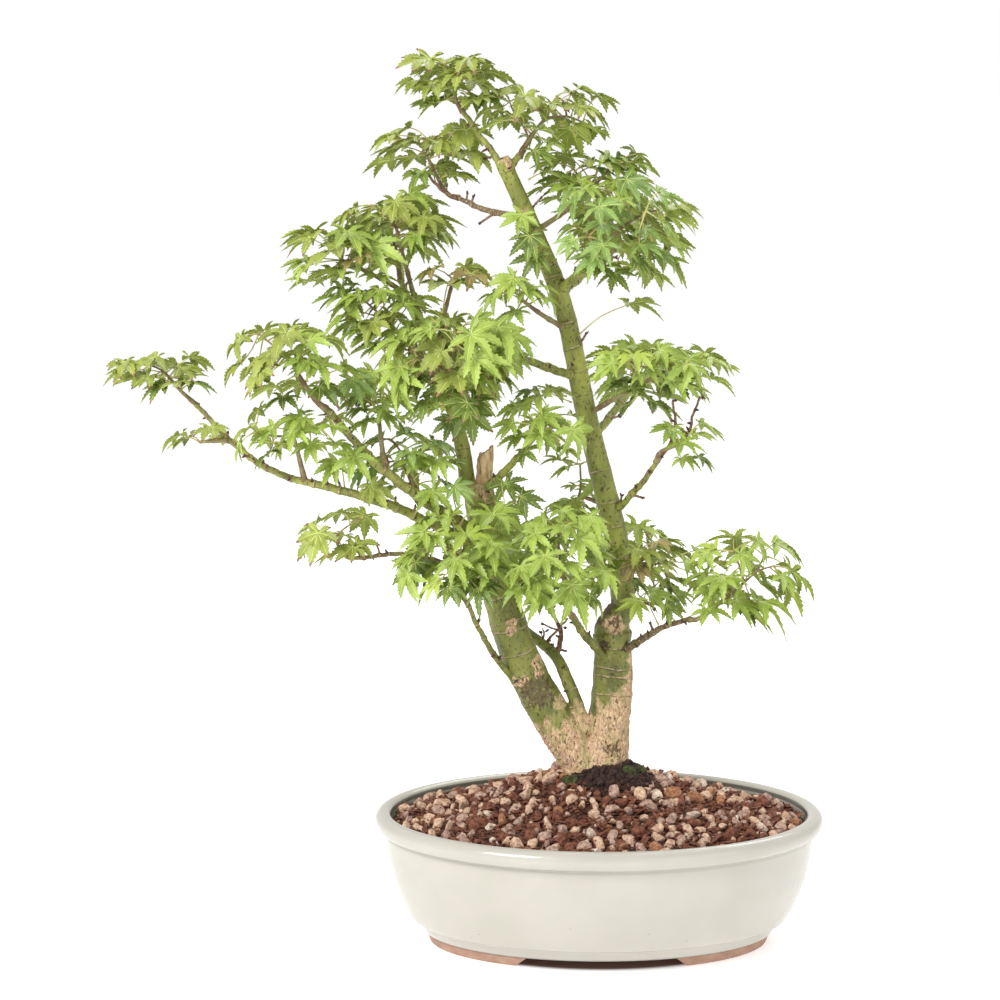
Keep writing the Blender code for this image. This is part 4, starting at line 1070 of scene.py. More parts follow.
make_piece("trunk_and_stems", [bark], wood_points, wood_faces, stem_nodes, None, marks)

# %% [markdown]
# The boughs are too slim to melt without loss, so they stay sweeps that start inside the stems.
# Each has a swollen collar and nodes every centimetre or two with a thin ring, as maples do. A
# share from 0 to 1 says how brown its bark is, and a brown bough is also slimmer and knobbier.


# %% Grow the boughs
def noded(route, radii, rand, spacing):
    """Radii with a collar at the start and swellings at the nodes, and how far along each node is."""
    steps = np.linalg.norm(np.diff(route, axis=0), axis=1)
    travelled = np.concatenate(([0], np.cumsum(steps)))
    radii = np.array(radii, float) * (1 + 0.4 * np.exp(-travelled / 3.5))
    offsets = np.full(len(route), NO_RING)
    place = rand.uniform(0.4, 1) * spacing
    while place < travelled[-1]:
        past = travelled - place
        radii *= 1 + rand.uniform(0.08, 0.3) * np.exp(-(past / rand.uniform(1.2, 2.4)) ** 2)
        offsets = np.where(np.abs(past) < np.abs(offsets), past, offsets)
        place += rand.uniform(0.4, 1.8) * spacing
    return radii, offsets


def swayed(route, size, amount, first):
    """A route bent by smooth noises, one for each axis."""
    shifts = range(first, first + 3)
    return np.column_stack([wobble(route, size, shift) for shift in shifts]) * amount


def nodes_of(route, radii, offsets, first, last):
    """Place, way ahead and radius at each node between two rings."""
    peaks = [i for i in range(first, len(route) - last) if offsets[i - 1] < 0 <= offsets[i]]
    return [(route[i], route[i + 1] - route[i - 1], radii[i]) for i in peaks]


BROWN_SHARES = {
    "long_bough": 0.4, "left_bough": 0.35, "low_left_twig": 0.7, "apex_left_shoot": 0.4,
    "apex_right_shoot": 0.3, "upper_left_bough": 0.9, "crossing_bough": 0.15, "right_bough": 0.4,
    "low_right_bough": 0.75, "inner_bough": 0.2, "low_front_bough": 0.25,
}
USUAL_BROWN = 0.3
BOUGH_SIDES = 14
boughs = Heap()
bough_rings = []
bough_ages = []
seeds = random.Random(5)
nodes_on_limbs = []
for name in BOUGHS:
    route, radii = routes[name]
    bent = route + swayed(route, 16, 1.1, 1)
    bent += swayed(route, 5, 0.45, 4)
    brown = BROWN_SHARES.get(name, USUAL_BROWN)
    radii, offsets = noded(bent, radii * (1 - 0.14 * brown), seeds, 16 - 5 * brown)
    points, faces = sweep(bent, radii, BOUGH_SIDES)
    knobs = (0.08 + 0.2 * brown) * wobble(points[:-2], 2.6)
    points[:-2] += (points[:-2] - np.repeat(bent, BOUGH_SIDES, 0)) * knobs[:, None]
    boughs.add(points, faces)
    bough_rings.extend([*np.repeat(offsets, BOUGH_SIDES), NO_RING, NO_RING])
    ages = brown * np.linspace(0.55, 1.05, len(bent))
    bough_ages.extend([*np.repeat(ages, BOUGH_SIDES), brown, brown])
    nodes_on_limbs += nodes_of(bent, radii, offsets, 6, 4)
bough_points = np.vstack(boughs.points)
bough_faces = np.vstack(boughs.faces)
bough_rings = np.array(bough_rings)
blank = np.zeros(len(bough_points))
bough_marks = {
    "age": bough_ages, "ring": bough_rings, "near_ring": np.exp(-(bough_rings / 3) ** 2) * 0.8,
    "stain": blank, "cut": blank, "slim": blank + 1,
}
bough_nodes = list(BOUGHS)
make_piece(
    "boughs", [bark], bough_points, bough_faces, bough_nodes, boughs.which, bough_marks
)

# %% [markdown]
# A few dry twigs stand out where shoots died back. Each is a short noded sweep.

# %% Grow the dry twigs
DRY_TWIGS = [
    ([(-33, 45, 220), (-29, 49, 233), (-31, 48, 243), (-41, 46, 262)], 2.2, 1.0),
    ([(-43, 49, 226), (-36, 46, 236), (-24, 42, 250)], 1.2, 0.8),
    ([(-45, 51, 228), (-43, 50, 236), (-44, 49, 241)], 0.8, 0.5),
    ([(15, 34, 259), (27, 24, 266), (40, 19, 266), (48, 16, 271)], 1.7, 0.9),
    ([(44, -6, 384), (53, -8, 396), (57, -10, 412), (55, -12, 432)], 1.6, 0.8),
    ([(52, -8, 394), (66, -10, 404), (71, -12, 420), (76, -14, 434)], 1.3, 0.8),
    ([(-112, 57, 583), (-124, 52, 590), (-136, 50, 604)], 1.6, 0.9),
]
for name in ("right_leader", "left_leader", "middle_stem"):
    route, radii = routes[name]
    for height in RING_HEIGHTS[name][1:]:
        i = int(np.abs(route[:, 2] - height).argmin())
        nodes_on_limbs.append((route[i], route[i + 1] - route[i - 1], radii[i]))
spurs = Heap()
for guides, start, stop in DRY_TWIGS:
    route = smooth(guides, 1.5)
    bent = route + swayed(route, 5, 0.9, 1)
    radii, offsets = noded(bent, np.linspace(start, stop, len(bent)), seeds, 9)
    spurs.add(*sweep(bent, radii, 10))
    nodes_on_limbs += nodes_of(bent, radii, offsets, 3, 1)
print(len(nodes_on_limbs), "nodes for spurs and buds")

# %% [markdown]
# At the nodes stand pairs of buds, some of them on a short spur, which is what is left of a shoot
# that died or was pinched off. Spurs and buds are tiny sweeps in two finishes.

# %% Set spurs and buds
SPUR_CHANCE = 0.4
SPUR_SWELLING = np.array((1.5, 1.0, 0.8, 1.05, 0.75, 0.95, 0.7))
BUD_SWELLING = np.array((0.5, 0.95, 0.9, 0.6, 0.15))
BUD_LENGTH = 2.2
spur_bark = Finish("spur_bark", {"Roughness": 0.8})
spur_bark.feed("Base Color", spur_bark.patches(2.5, (0.30, 0.19, 0.11), (0.13, 0.07, 0.045), detail=4))
spur_bark.relief(spur_bark.cloud(0.8, 4), 0.3)
bud_skin = Finish("bud_skin", {"Roughness": 0.5})
bud_skin.feed("Base Color", bud_skin.patches(1.5, (0.13, 0.050, 0.032), (0.055, 0.028, 0.02), 0.4, 0.6))
for place, ahead, radius in nodes_on_limbs:
    ahead = ahead / np.linalg.norm(ahead)
    around = np.cross(ahead, (seeds.uniform(-1, 1), seeds.uniform(-1, 1), seeds.uniform(-1, 1)))
    around = around / np.linalg.norm(around) + (0, 0, 0.5)
    around -= ahead * around.dot(ahead)
    around /= np.linalg.norm(around)
    long = seeds.uniform(1.5, 6) if seeds.random() < 0.8 or radius < 2 else seeds.uniform(6, 13)
    if seeds.random() > SPUR_CHANCE:
        long = 0
    heading = around + ahead * seeds.uniform(0.2, 0.9)
    sway = np.array([seeds.uniform(-0.25, 0.25) for _ in range(3)])
    start = place + around * radius * 0.75
    spur_route = [start + (heading + sway * t) * (long + 0.4) * t for t in np.linspace(0, 1, 7)]
    spurs.add(*sweep(spur_route, min(1.1, max(0.45, 0.42 * radius)) * SPUR_SWELLING, 8))
    for side in (-1, 1):
        lean = np.cross(ahead, around) * side * 0.9
        bud_route = [spur_route[-1] + (heading + lean) * BUD_LENGTH * t for t in np.linspace(0, 1, 5)]
        spurs.add(*sweep(bud_route, BUD_SWELLING, 8), which=1)
spurs.piece("spurs_and_buds", "green_bark", [spur_bark, bud_skin])

# %% [markdown]
# Beside the cut top of the left stem stands a dead stub: a tan, cracked shell with a broken rim
# round a dark hollow. It is a sweep whose last rings turn in and go down again.

# %% Break the dead stub
dead = Finish("dead_wood", {"Roughness": 0.85})
dead_tone = dead.patches(4, (0.85, 0.63, 0.38), (0.52, 0.33, 0.17), 0.4, 0.64, 4, (1, 1, 0.3))
dead_cracks = dead.step(dead.cloud(1.6, 4, (1, 1, 0.18)), 0.54, 0.66)
dead_tone = dead.mix(dead_cracks * 0.6, dead_tone, (0.08, 0.05, 0.03))
dead.feed("Base Color", dead.mix(dead.mark("hollow") * 0.9, dead_tone, (0.035, 0.02, 0.012)))
dead.relief(dead.cloud(1.2, 4, (1, 1, 0.2)) - dead_cracks, 0.5)
STUB_SIDES = 40
STUB_RINGS, HOLLOW_RINGS = 34, 12
STUB_TALL = 35
HOLLOW_DEPTH = 12
STUB_WALL = 1.7
STUB_SWELLING = 1.15
(stub_foot, stub_top), stub_low, stub_high = DEAD_STUB
stub_foot, stub_top = np.array(stub_foot, float), np.array(stub_top, float)
outer_shares = np.linspace(0, 1, STUB_RINGS)
shares = np.concatenate((outer_shares, np.linspace(1, 1 - HOLLOW_DEPTH / STUB_TALL, HOLLOW_RINGS)))
stub_radii = STUB_SWELLING * (stub_low + (stub_high - stub_low) * shares)
stub_radii[STUB_RINGS:] -= STUB_WALL
turns = np.arange(STUB_SIDES) * math.tau / STUB_SIDES
circle = np.column_stack((np.cos(turns), np.sin(turns), 0 * turns))
middles = [stub_foot + (stub_top - stub_foot) * share for share in shares]
stub_points = np.vstack([middle + circle * radius for middle, radius in zip(middles, stub_radii)])
outwards = np.tile(circle, (len(shares), 1))
ridges = 0.5 * wobble(stub_points * (1, 1, 0.15), 1.6, 2.0) + 0.7 * wobble(stub_points, 5, 4.0)
stub_points += outwards * ridges[:, None]
torn = np.clip(np.repeat(shares, STUB_SIDES) * 2.2 - 1.2, 0, 1)
rim_shape = 2.4 * np.tile(wobble(circle, 0.7, 9.0), len(shares)) + 3.2 * outwards[:, 0] - 2
stub_points[:, 2] += torn * (rim_shape + 0.8 * wobble(stub_points * (1, 1, 0), 1.5, 3.0))
foot_face, hollow_face = closing_faces(len(shares), STUB_SIDES)
stub_faces = [foot_face, *band_faces(len(shares), STUB_SIDES), hollow_face]
stub_marks = {"hollow": np.repeat((np.arange(len(shares)) > STUB_RINGS) * 1.0, STUB_SIDES)}
make_piece("dead_stub_wood", [dead], stub_points, stub_faces, ["dead_stub"], None, stub_marks)

# %% [markdown]
# ## The leaves
# A Japanese maple's leaf has seven narrow lobes with toothed margins and long tips. One template is
# drawn lobe by lobe: a rib with stations along it, and a margin that steps out to a tooth and back
# at each. The blade folds up from each rib, and each lobe arches up and then down to its tip. It
# is a thin closed body: an upper and a lower sheet that meet at the margin, so that both sides
# can have their own colour.

# %% Draw one leaf
LOBES = [(-122, 0.42), (-79, 0.74), (-38, 0.93), (0, 1.0), (38, 0.93), (79, 0.74), (122, 0.42)]
NOTCHES = [0.07, 0.19, 0.26, 0.30, 0.30, 0.26, 0.19, 0.07]
STATIONS = (8, 10, 12, 12, 12, 10, 8)
LAST_NOTCH = 165
LOBE_HALF = 0.156
TOOTH_OUT, TOOTH_BACK = 1.2, 0.86
TOOTH_AHEAD = 0.035
DRY_STATIONS = 2


class Blade:
    """The upper sheet of one leaf, 1 long from its base to its middle tip."""

    def __init__(self, seed, width=1.0):
        rand = random.Random(seed)
        self.width = width
        self.points = []
        self.inner = []
        self.upper = []
        self.dry = []
        self.ribs = []
        spread = rand.uniform(0.78, 1.04)
        self.rise = rand.uniform(0.0, 0.3)
        self.droop = self.rise + rand.uniform(0.0, 0.34)
        centre = self.add(0, 0.03, 0, True)
        between = [(a[0] + b[0]) / 2 for a, b in zip(LOBES, LOBES[1:])]
        turns = [-LAST_NOTCH / spread] + between + [LAST_NOTCH / spread]
        notches = []
        for turn, far in zip(turns, NOTCHES):
            far *= rand.uniform(0.88, 1.12) * width
            angle = math.radians(turn * spread)
            height = self.rise * far - self.droop * far ** 2 + 0.04 * far
            notches.append(self.add(-math.sin(angle) * far, math.cos(angle) * far, height, False))
        for i, (turn, share) in enumerate(LOBES):
            share *= rand.uniform(0.88, 1.06)
            angle = math.radians(turn * spread + rand.uniform(-6, 6))
            base = 0.45 * (NOTCHES[i] + NOTCHES[i + 1]) * width
            self.lobe(rand, angle, share, base, centre, notches[i], notches[i + 1], STATIONS[i])
        self.upper.append((centre, notches[-1], notches[0]))
        self.dry.append(False)

    def add(self, x, y, z, inner):
        self.points.append((x, y, z))
        self.inner.append(inner)
        return len(self.points) - 1

    def lobe(self, rand, angle, share, base, centre, low_notch, high_notch, stations):
        """One lobe: quads between its rib and its two margins, up to the tip."""
        back = abs(angle) > math.radians(90)
        rise = self.rise * rand.uniform(0.5, 1.5) + (0.35 if back else 0)
        droop = self.droop * rand.uniform(0.5, 1.6) + rand.uniform(0, 0.12)
        fold = rand.uniform(0.2, 0.6)
        twist = rand.uniform(-0.6, 0.6)
        bend = rand.uniform(-0.16, 0.16)

        def on_rib(along):
            turned = angle + bend * (along - base)
            height = rise * along - droop * along ** 2
            return Vector((-math.sin(turned) * along, math.cos(turned) * along, height)), turned

        sides = {1: low_notch, -1: high_notch}
        rib = self.add(*on_rib(0.55 * base)[0], True)
        line = [centre, rib]
        faces = [(centre, low_notch, rib), (centre, rib, high_notch)]
        for k in range(1, stations):
            t = k / stations
            along = base + (share - base) * t
            tooth = k % 2 == 1
            width = (1 - t) ** 1.2 * (0.78 + 1.85 * t)
            half = LOBE_HALF * self.width * share ** 0.7 * width * (TOOTH_OUT if tooth else TOOTH_BACK)
            middle, turned = on_rib(along)
            following = self.add(*middle, True)
            aside = Vector((math.cos(turned), math.sin(turned), 0))
            ahead = Vector((-math.sin(turned), math.cos(turned), rise - 2 * droop * along))
            for side, before in list(sides.items()):
                place = middle + aside * side * half + ahead * (TOOTH_AHEAD if tooth else 0)
                place.z += fold * half + twist * side * half * along
                margin = self.add(*place, False)
                if side > 0:
                    faces += [(before, margin, following), (before, following, rib)]
                else:
                    faces += [(rib, following, margin), (rib, margin, before)]
                sides[side] = margin
            rib = following
            if k in (stations // 3, 2 * stations // 3, stations - 2):
                line.append(rib)
        tip = self.add(*on_rib(share)[0], False)
        faces += [(sides[1], tip, rib), (rib, tip, sides[-1])]
        self.upper += faces
        self.dry += [i >= len(faces) - 4 * DRY_STATIONS for i in range(len(faces))]
        self.ribs.append(line)


print("the upper sheet of a leaf has", len(Blade(0).upper), "triangles")

# %% [markdown]
# The lower sheet is the upper one again, a little lower and turned over, with the same margin. Ribs
# are slim three-sided bars that show on both sides, thinner towards the tips. Some templates are
# narrow and some wide, and each comes out differently, because chance has its share in them.

# %% Make the templates
LEAF_THICK = 0.014
RIB_HALF = 0.017
RIB_ABOVE = 0.008
RIB_BELOW = 0.016
NARROW_LEAVES, WIDE_LEAVES = 9, 5
WIDENED = 1.3


class Template(Blade):
    """A whole leaf: both sheets and the ribs."""

    def __init__(self, seed, width=1.0):
        super().__init__(seed, width)
        lower_of = {}
        for i, inner in enumerate(list(self.inner)):
            x, y, z = self.points[i]
            lower_of[i] = self.add(x, y, z - LEAF_THICK, True) if inner else i
        self.lower = [tuple(lower_of[i] for i in reversed(face)) for face in self.upper]
        self.rib_points = []
        self.rib_faces = []
        for line in self.ribs:
            self.add_rib([Vector(self.points[i]) for i in line])
        self.points = np.array(self.points)
        self.rib_points = np.array([point[:] for point in self.rib_points])

    def add_rib(self, places):
        """A three-sided bar through these places, closed at both ends."""
        aside = (places[-1] - places[0]).cross(Vector((0, 0, 1))).normalized()
        first = len(self.rib_points)
        for number, place in enumerate(places):
            thin = 1 - 0.75 * number / (len(places) - 1)
            above = Vector((0, 0, RIB_ABOVE))
            below = Vector((0, 0, -LEAF_THICK - RIB_BELOW * thin))
            for corner in (above + aside * RIB_HALF * thin, above - aside * RIB_HALF * thin, below):
                self.rib_points.append(place + corner)
            if number:
                for j in range(3):
                    a = first + 3 * (number - 1) + j
                    b = first + 3 * (number - 1) + (j + 1) % 3
                    self.rib_faces += [(a, b, b + 3), (a, b + 3, a + 3)]
        last = len(self.rib_points) - 3
        self.rib_faces += [(last, last + 1, last + 2), (first, first + 2, first + 1)]


templates = [Template(seed) for seed in range(NARROW_LEAVES)]
templates += [Template(100 + seed, WIDENED) for seed in range(WIDE_LEAVES)]
print("a leaf has", 2 * len(templates[0].upper), "triangles and its ribs", len(templates[0].rib_faces))

# %% [markdown]
# The leaves on the photograph's tree differ by place: bright green in front, cooler at the upper right,
# olive to bronze at the top where the sun is strong, and yellow-green where they are young. Leaves in the
# shade are painted a deep green: painted shade. Every kind is its own finish with soft mottling, and all
# have a paler, greyer underside.


# %% Mix the leaf greens
def leaf_finish(name, light, dark, gloss):
    """A leaf's skin: two near tones in soft patches, with a light sheen."""
    made = Finish(name, {"Specular IOR Level": 0.42})
    tone = made.mix(made.step(made.cloud(26), 0.36, 0.64), light, dark)
    paler = [0.85 * part + 0.10 for part in light]
    made.feed("Base Color", made.mix(made.step(made.cloud(2.4, 3), 0.52, 0.72) * 0.35, tone, paler))
    made.feed("Roughness", gloss + 0.15 * made.cloud(8))
    made.relief(made.cloud(1.6, 3), 0.25)
    return made


LEAF_KINDS = {
    "fresh": ((0.375, 0.495, 0.086), (0.25, 0.35, 0.049)),
    "cool": ((0.29, 0.425, 0.108), (0.185, 0.29, 0.064)),
    "olive": ((0.355, 0.41, 0.078), (0.24, 0.28, 0.047)),
    "lime": ((0.49, 0.60, 0.105), (0.36, 0.47, 0.066)),
    "bronze": ((0.35, 0.29, 0.094), (0.24, 0.18, 0.060)),
    # The darkest kind is painted shade, for leaves in the shade.
    "deep": ((0.20, 0.275, 0.047), (0.115, 0.17, 0.028)),
}
leaf_skins = {kind: leaf_finish(kind + "_leaf", *tones, 0.36) for kind, tones in LEAF_KINDS.items()}
underside = leaf_finish("leaf_underside", (0.34, 0.40, 0.070), (0.23, 0.28, 0.045), 0.6)
tip_skin = leaf_finish("dry_leaf_tip", (0.30, 0.17, 0.085), (0.17, 0.08, 0.045), 0.6)
rib_skin = leaf_finish("leaf_rib", (0.64, 0.74, 0.24), (0.52, 0.62, 0.16), 0.5)
stalk_skin = leaf_finish("leaf_stalk", (0.58, 0.58, 0.20), (0.46, 0.38, 0.14), 0.5)

# %% [markdown]
# ## The masses of leaves
# Each mass keeps to a space of its own, a box with round corners. A twig runs from the tip or the
# side of its limb to the middle of the space, and leaves are added one after another, each as far
# as can be from those before it. A leaf too far from every twig first gets a twig. One that would
# leave its space or touch anything is left out. The solids follow the same rule, with fewer and
# larger leaves.
#
# Each line gives a mass's limb, how far along it the twig starts, the middle and the half size of
# its space, its share of leaves, how far they face outwards, their size, and the letters of their
# kinds.

# %% List the masses
TIP = 1.0
MASSES = {
    "far_left": ("long_bough", TIP, (-339, 20, 449), (55, 40, 22), 6, 0.1, 1.0, "oof"),
    "far_left_low": ("long_bough", 0.86, (-312, 10, 396), (38, 32, 24), 2, 0.3, 0.95, "of"),
    "outer_left": ("left_bough", TIP, (-236, -32, 462), (60, 50, 40), 12, 0.5, 1.0, "offo"),
    "outer_left_low": ("long_bough", 0.6, (-236, -26, 405), (58, 40, 28), 8, 0.7, 0.85, "fof"),
    "top_left": ("left_leader", TIP, (-201, 30, 536), (54, 50, 32), 9, 0.3, 1.05, "oofb"),
    "top_inner": ("left_leader", 0.86, (-160, 62, 560), (60, 46, 32), 10, 0.5, 1.0, "oof"),
    "mid_left": ("left_leader", 0.5, (-168, 26, 490), (60, 46, 34), 11, 0.5, 1.0, "ccfo"),
    "mid_front": ("crossing_bough", TIP, (-118, -52, 458), (64, 50, 48), 17, 0.9, 1.05, "fffffo"),
    "inner_left": ("left_bough", 0.4, (-152, 12, 375), (50, 42, 34), 10, 0.5, 0.85, "fcf"),
    "inner_upper": ("left_bough", 0.6, (-172, 2, 420), (42, 36, 22), 6, 0.5, 0.9, "fo"),
    "low_left": ("low_left_twig", TIP, (-206, -20, 325), (36, 34, 26), 4, 0.6, 0.85, "fof"),
    "inner_front": ("inner_bough", TIP, (-46, -36, 411), (42, 38, 31), 7, 0.8, 0.9, "ffl"),
    "low_front": ("thin_shoot", TIP, (-109, -40, 314), (54, 44, 46), 14, 0.9, 1.0, "ffffl"),
    "low_middle": ("low_front_bough", TIP, (-32, -46, 308), (52, 46, 50), 14, 0.9, 1.05, "ffffl"),
    "stump_front": ("right_leader", 0.12, (24, -8, 303), (42, 28, 28), 5, 0.8, 0.9, "olb"),
    "behind_leader": ("right_leader", 0.26, (-14, 88, 342), (34, 36, 42), 5, 0.6, 0.9, "f"),
    "upper_left": ("upper_left_bough", TIP, (-136, 62, 617), (58, 48, 28), 8, 0.25, 1.0, "oobf"),
    "apex_left": ("apex_left_shoot", TIP, (-112, 25, 673), (53, 48, 30), 9, 0.15, 1.0, "ooobf"),
    "apex_right": ("apex_right_shoot", TIP, (-42, 44, 646), (61, 48, 33), 11, 0.35, 0.95, "ooff"),
    "upper_middle": ("right_leader", 0.84, (-4, 62, 592), (60, 44, 36), 12, 0.45, 1.0, "ocf"),
    "upper_right": ("upper_right_bough", TIP, (14, -10, 563), (64, 50, 45), 17, 0.65, 0.95, "cfcfc"),
    "hanging": ("left_leader", 0.7, (-114, 4, 523), (40, 32, 18), 2, 0.3, 1.1, "b"),
    "inner_top": ("right_leader", 0.62, (-63, 2, 509), (38, 32, 24), 4, 0.6, 0.9, "fo"),
    "right": ("right_leader", 0.45, (46, -34, 455), (62, 52, 25), 11, 0.45, 1.0, "llf"),
    "right_small": ("right_bough", TIP, (66, -20, 400), (35, 34, 25), 3, 0.4, 0.9, "lf"),
    "low_right": ("low_right_bough", TIP, (113, 0, 287), (54, 50, 42), 12, 0.6, 1.05, "lff"),
    "stump": ("right_stem", 0.86, (40, 78, 286), (58, 48, 42), 11, 0.5, 0.95, "llf"),
    "back_low": ("middle_stem", TIP, (-72, 142, 284), (66, 52, 44), 10, 0.7, 1.1, "ffo"),
    "back_left": ("back_left_bough", TIP, (-128, 146, 440), (62, 50, 48), 11, 0.7, 1.1, "offc"),
    "back_right": ("back_right_bough", TIP, (42, 146, 430), (60, 50, 38), 10, 0.6, 1.05, "offc"),
    "back_upper": ("back_upper_bough", TIP, (28, 128, 540), (56, 46, 46), 10, 0.6, 1.1, "offc"),
    "back_top": ("back_top_bough", TIP, (-166, 138, 548), (50, 44, 38), 9, 0.5, 1.1, "ooff"),
}
KIND_LETTERS = {"f": "fresh", "c": "cool", "o": "olive", "l": "lime", "b": "bronze"}
print(len(MASSES), "masses")

# %% [markdown]
# A leaf has to fit between limbs, twigs and other leaves. A soup gathers the triangles of what is
# in the way, and a tree of bounding boxes finds fast whether a new shape meets any of them.


# %% Gather what is in the way
class Soup:
    """Triangles gathered from many shapes, to test a new one against."""

    def __init__(self):
        self.points = []
        self.faces = []
        self.tree = None

    def add(self, points, faces):
        first = len(self.points)
        self.points.extend(points)
        self.faces.extend([tuple(first + i for i in face) for face in faces])
        self.tree = None

    def hits(self, probe):
        if not self.faces:
            return False
        if self.tree is None:
            self.tree = BVHTree.FromPolygons(self.points, self.faces)
        return bool(self.tree.overlap(probe))


SOUP_STEP = 8
SOUP_SIDES = 8
LIMB_SPARE = 0.6
limb_soup = Soup()
for route, radii in routes.values():
    points, faces = sweep(route[::SOUP_STEP], radii[::SOUP_STEP] + LIMB_SPARE, SOUP_SIDES)
    limb_soup.add([Vector(point) for point in points], faces.tolist())
print("the limbs are in the way with", len(limb_soup.faces), "triangles")

# %% [markdown]
# Real leaves have too many triangles for thousands of tests, so a coarse star stands for each. It
# follows the lobes and notches, and droops towards its rim. A square bar stands for a twig.

# %% Draw the stand-ins
STAR_SIDE = [(20, 0.32), (39, 0.94), (60, 0.3), (80, 0.74), (100, 0.28), (124, 0.42), (165, 0.1)]
STAR_SHARES = [(-turn, share) for turn, share in reversed(STAR_SIDE)] + [(0, 1.02)] + STAR_SIDE
STAR_DROOP = 0.22
STAR_THICK = 0.9
star_faces = []
for i in range(len(STAR_SHARES)):
    j = (i + 1) % len(STAR_SHARES)
    star_faces += [(0, i + 2, j + 2), (1, j + 2, i + 2)]


def star(place, reach):
    """The coarse stand-in for a leaf."""
    local = [Vector((0, 0, STAR_THICK)), Vector((0, 0, -STAR_THICK))]
    for angle, share in STAR_SHARES:
        turn = math.radians(angle)
        out = share * reach
        droop = -STAR_DROOP * reach * share ** 2
        local.append(Vector((-math.sin(turn) * out, math.cos(turn) * out, droop)))
    return [place @ point for point in local]


def box_along(start, stop, half):
    """A square bar, the coarse stand-in for a twig."""
    turn = (stop - start).to_track_quat("Z", "Y")
    signs = ((-1, -1), (1, -1), (1, 1), (-1, 1))
    corners = [turn @ Vector((x * half, y * half, 0)) for x, y in signs]
    points = [start + corner for corner in corners] + [stop + corner for corner in corners]
    faces = [(0, 1, 5, 4), (1, 2, 6, 5), (2, 3, 7, 6), (3, 0, 4, 7)]
    return points, faces


print("a star has", len(star_faces), "triangles")

# %% [markdown]
# A space starts with its stem, the first twig, which runs on from the tip of its limb or out of
# the limb's side. The space knows whether a shape lies inside it and is free of others, and where
# the nearest twig is. Twigs come out slightly bent.

# %% Make room for one mass
LEAVES_FOR_ONE = 2.2
LEAF_REACH = 29
SPACE_POWER = 3.0
SPOT_INSETS = (0.42, 0.42, 0.28)
FIRST_SEED = 9000
THICKEST_TWIG = 2.4
STEM_INSIDE = 2
KNEE_PAST_TIP, KNEE_PAST_SIDE = 12, 8
BAR_SHARE = 0.8
TWIG_SWAY = 2


class Space:
    """The space of one mass, with its twigs and all that is in the way in it."""

    def __init__(self, name, number):
        limb, at, centre, half, leaves, self.facing, size, self.kinds = MASSES[name]
        self.name = name
        self.random = random.Random(FIRST_SEED + number)
        self.centre = Vector(centre)
        self.half = Vector(half)
        self.wanted = round(leaves * LEAVES_FOR_ONE)
        self.reach = LEAF_REACH * size
        self.own = Soup()
        self.twigs = []
        self.bends = []
        self.leaves = []
        self.grow_stem(limb, at)

    def grow_stem(self, limb, at):
        """The first twig: on from the tip of its limb, or out of the limb's side, to the middle."""
        route, radii = routes[limb]
        i = min(round(at * (len(route) - 1)), len(route) - 2)
        start = Vector(route[-1] if at == TIP else route[i])
        radius = min(radii[i] * 0.98, THICKEST_TWIG)
        if at == TIP:
            heading = Vector(route[-1] - route[-3]).normalized()
            start -= heading * STEM_INSIDE
            knee = start + heading * KNEE_PAST_TIP
        else:
            heading = (self.centre - start).normalized()
            knee = start + heading * (radii[i] + KNEE_PAST_SIDE)
        self.add_twig([start, knee, self.centre], radius, max(1.0, radius * 0.55), knee)

    def add_twig(self, guides, thick, thin, clear_start):
        """A twig that bends a little at its middle, kept for leaves to grow on."""
        route = smooth([point[:] for point in guides], 4)
        aside = np.array([self.random.uniform(-TWIG_SWAY, TWIG_SWAY) for _ in range(3)])
        route = route + np.sin(np.linspace(0, math.pi, len(route)))[:, None] * aside
        self.bends.append((route, np.linspace(thick, thin, len(route))))
        spray = KIND_LETTERS[self.random.choice(self.kinds)]
        self.twigs.append(([Vector(point) for point in route], thick, thin, spray))
        self.own.add(*box_along(clear_start, guides[-1], BAR_SHARE * thick))

    def holds(self, points):
        """Whether all the points are in the space, a box with well rounded corners."""
        for point in points:
            away = point - self.centre
            if sum(abs(a / h) ** SPACE_POWER for a, h in zip(away, self.half)) > 1:
                return False
        return True

    def free(self, points, faces, others):
        """Whether a shape meets nothing in its own space, on the limbs or in the other spaces."""
        probe = BVHTree.FromPolygons(points, faces)
        if self.own.hits(probe) or limb_soup.hits(probe):
            return False
        return not any(other.own.hits(probe) for other in others)

    def random_spot(self):
        """A place in the space, not too close to its sides."""
        room = [max(h - inset * self.reach, 0.1 * h) for h, inset in zip(self.half, SPOT_INSETS)]
        while True:
            share = [self.random.uniform(-1, 1) for _ in range(3)]
            if sum(abs(part) ** SPACE_POWER for part in share) <= 1:
                return self.centre + Vector([part * width for part, width in zip(share, room)])

    def nearest_twig(self, head):
        """The nearest place on the outer part of a twig, and the twig."""
        best = None
        for twig in self.twigs:
            route = twig[0]
            for point in route[int(len(route) * 0.35):]:
                gap = (head - point).length
                if best is None or gap < best[0]:
                    best = (gap, point, twig)
        return best[1], best[2]


print("the first space holds", Space(next(iter(MASSES)), 0).wanted, "leaves")

# %% [markdown]
# The rule itself goes leaf by leaf. A leaf points outwards and droops, and faces up and out. Its
# head, where the stalk meets the blade, has to be near a twig, or a new twig is tried. The lengths
# of stalks are shares of a leaf's reach, which is how far its middle lobe goes.

# %% Write the rule of growth
TRIES = 110
CHOICES = 5
FAR_AWAY = 999
LONGEST_STALK = 1.15
SHORTEST_STALK = 0.35
NEW_STALK = 0.5
SHORTEST_TWIG = 8
TWIG_CLEARANCE = 1.2
MIDDLE_SHARE = 0.3
SAME_KIND_CHANCE = 0.8
TREE_X, TREE_Y = -60, 34


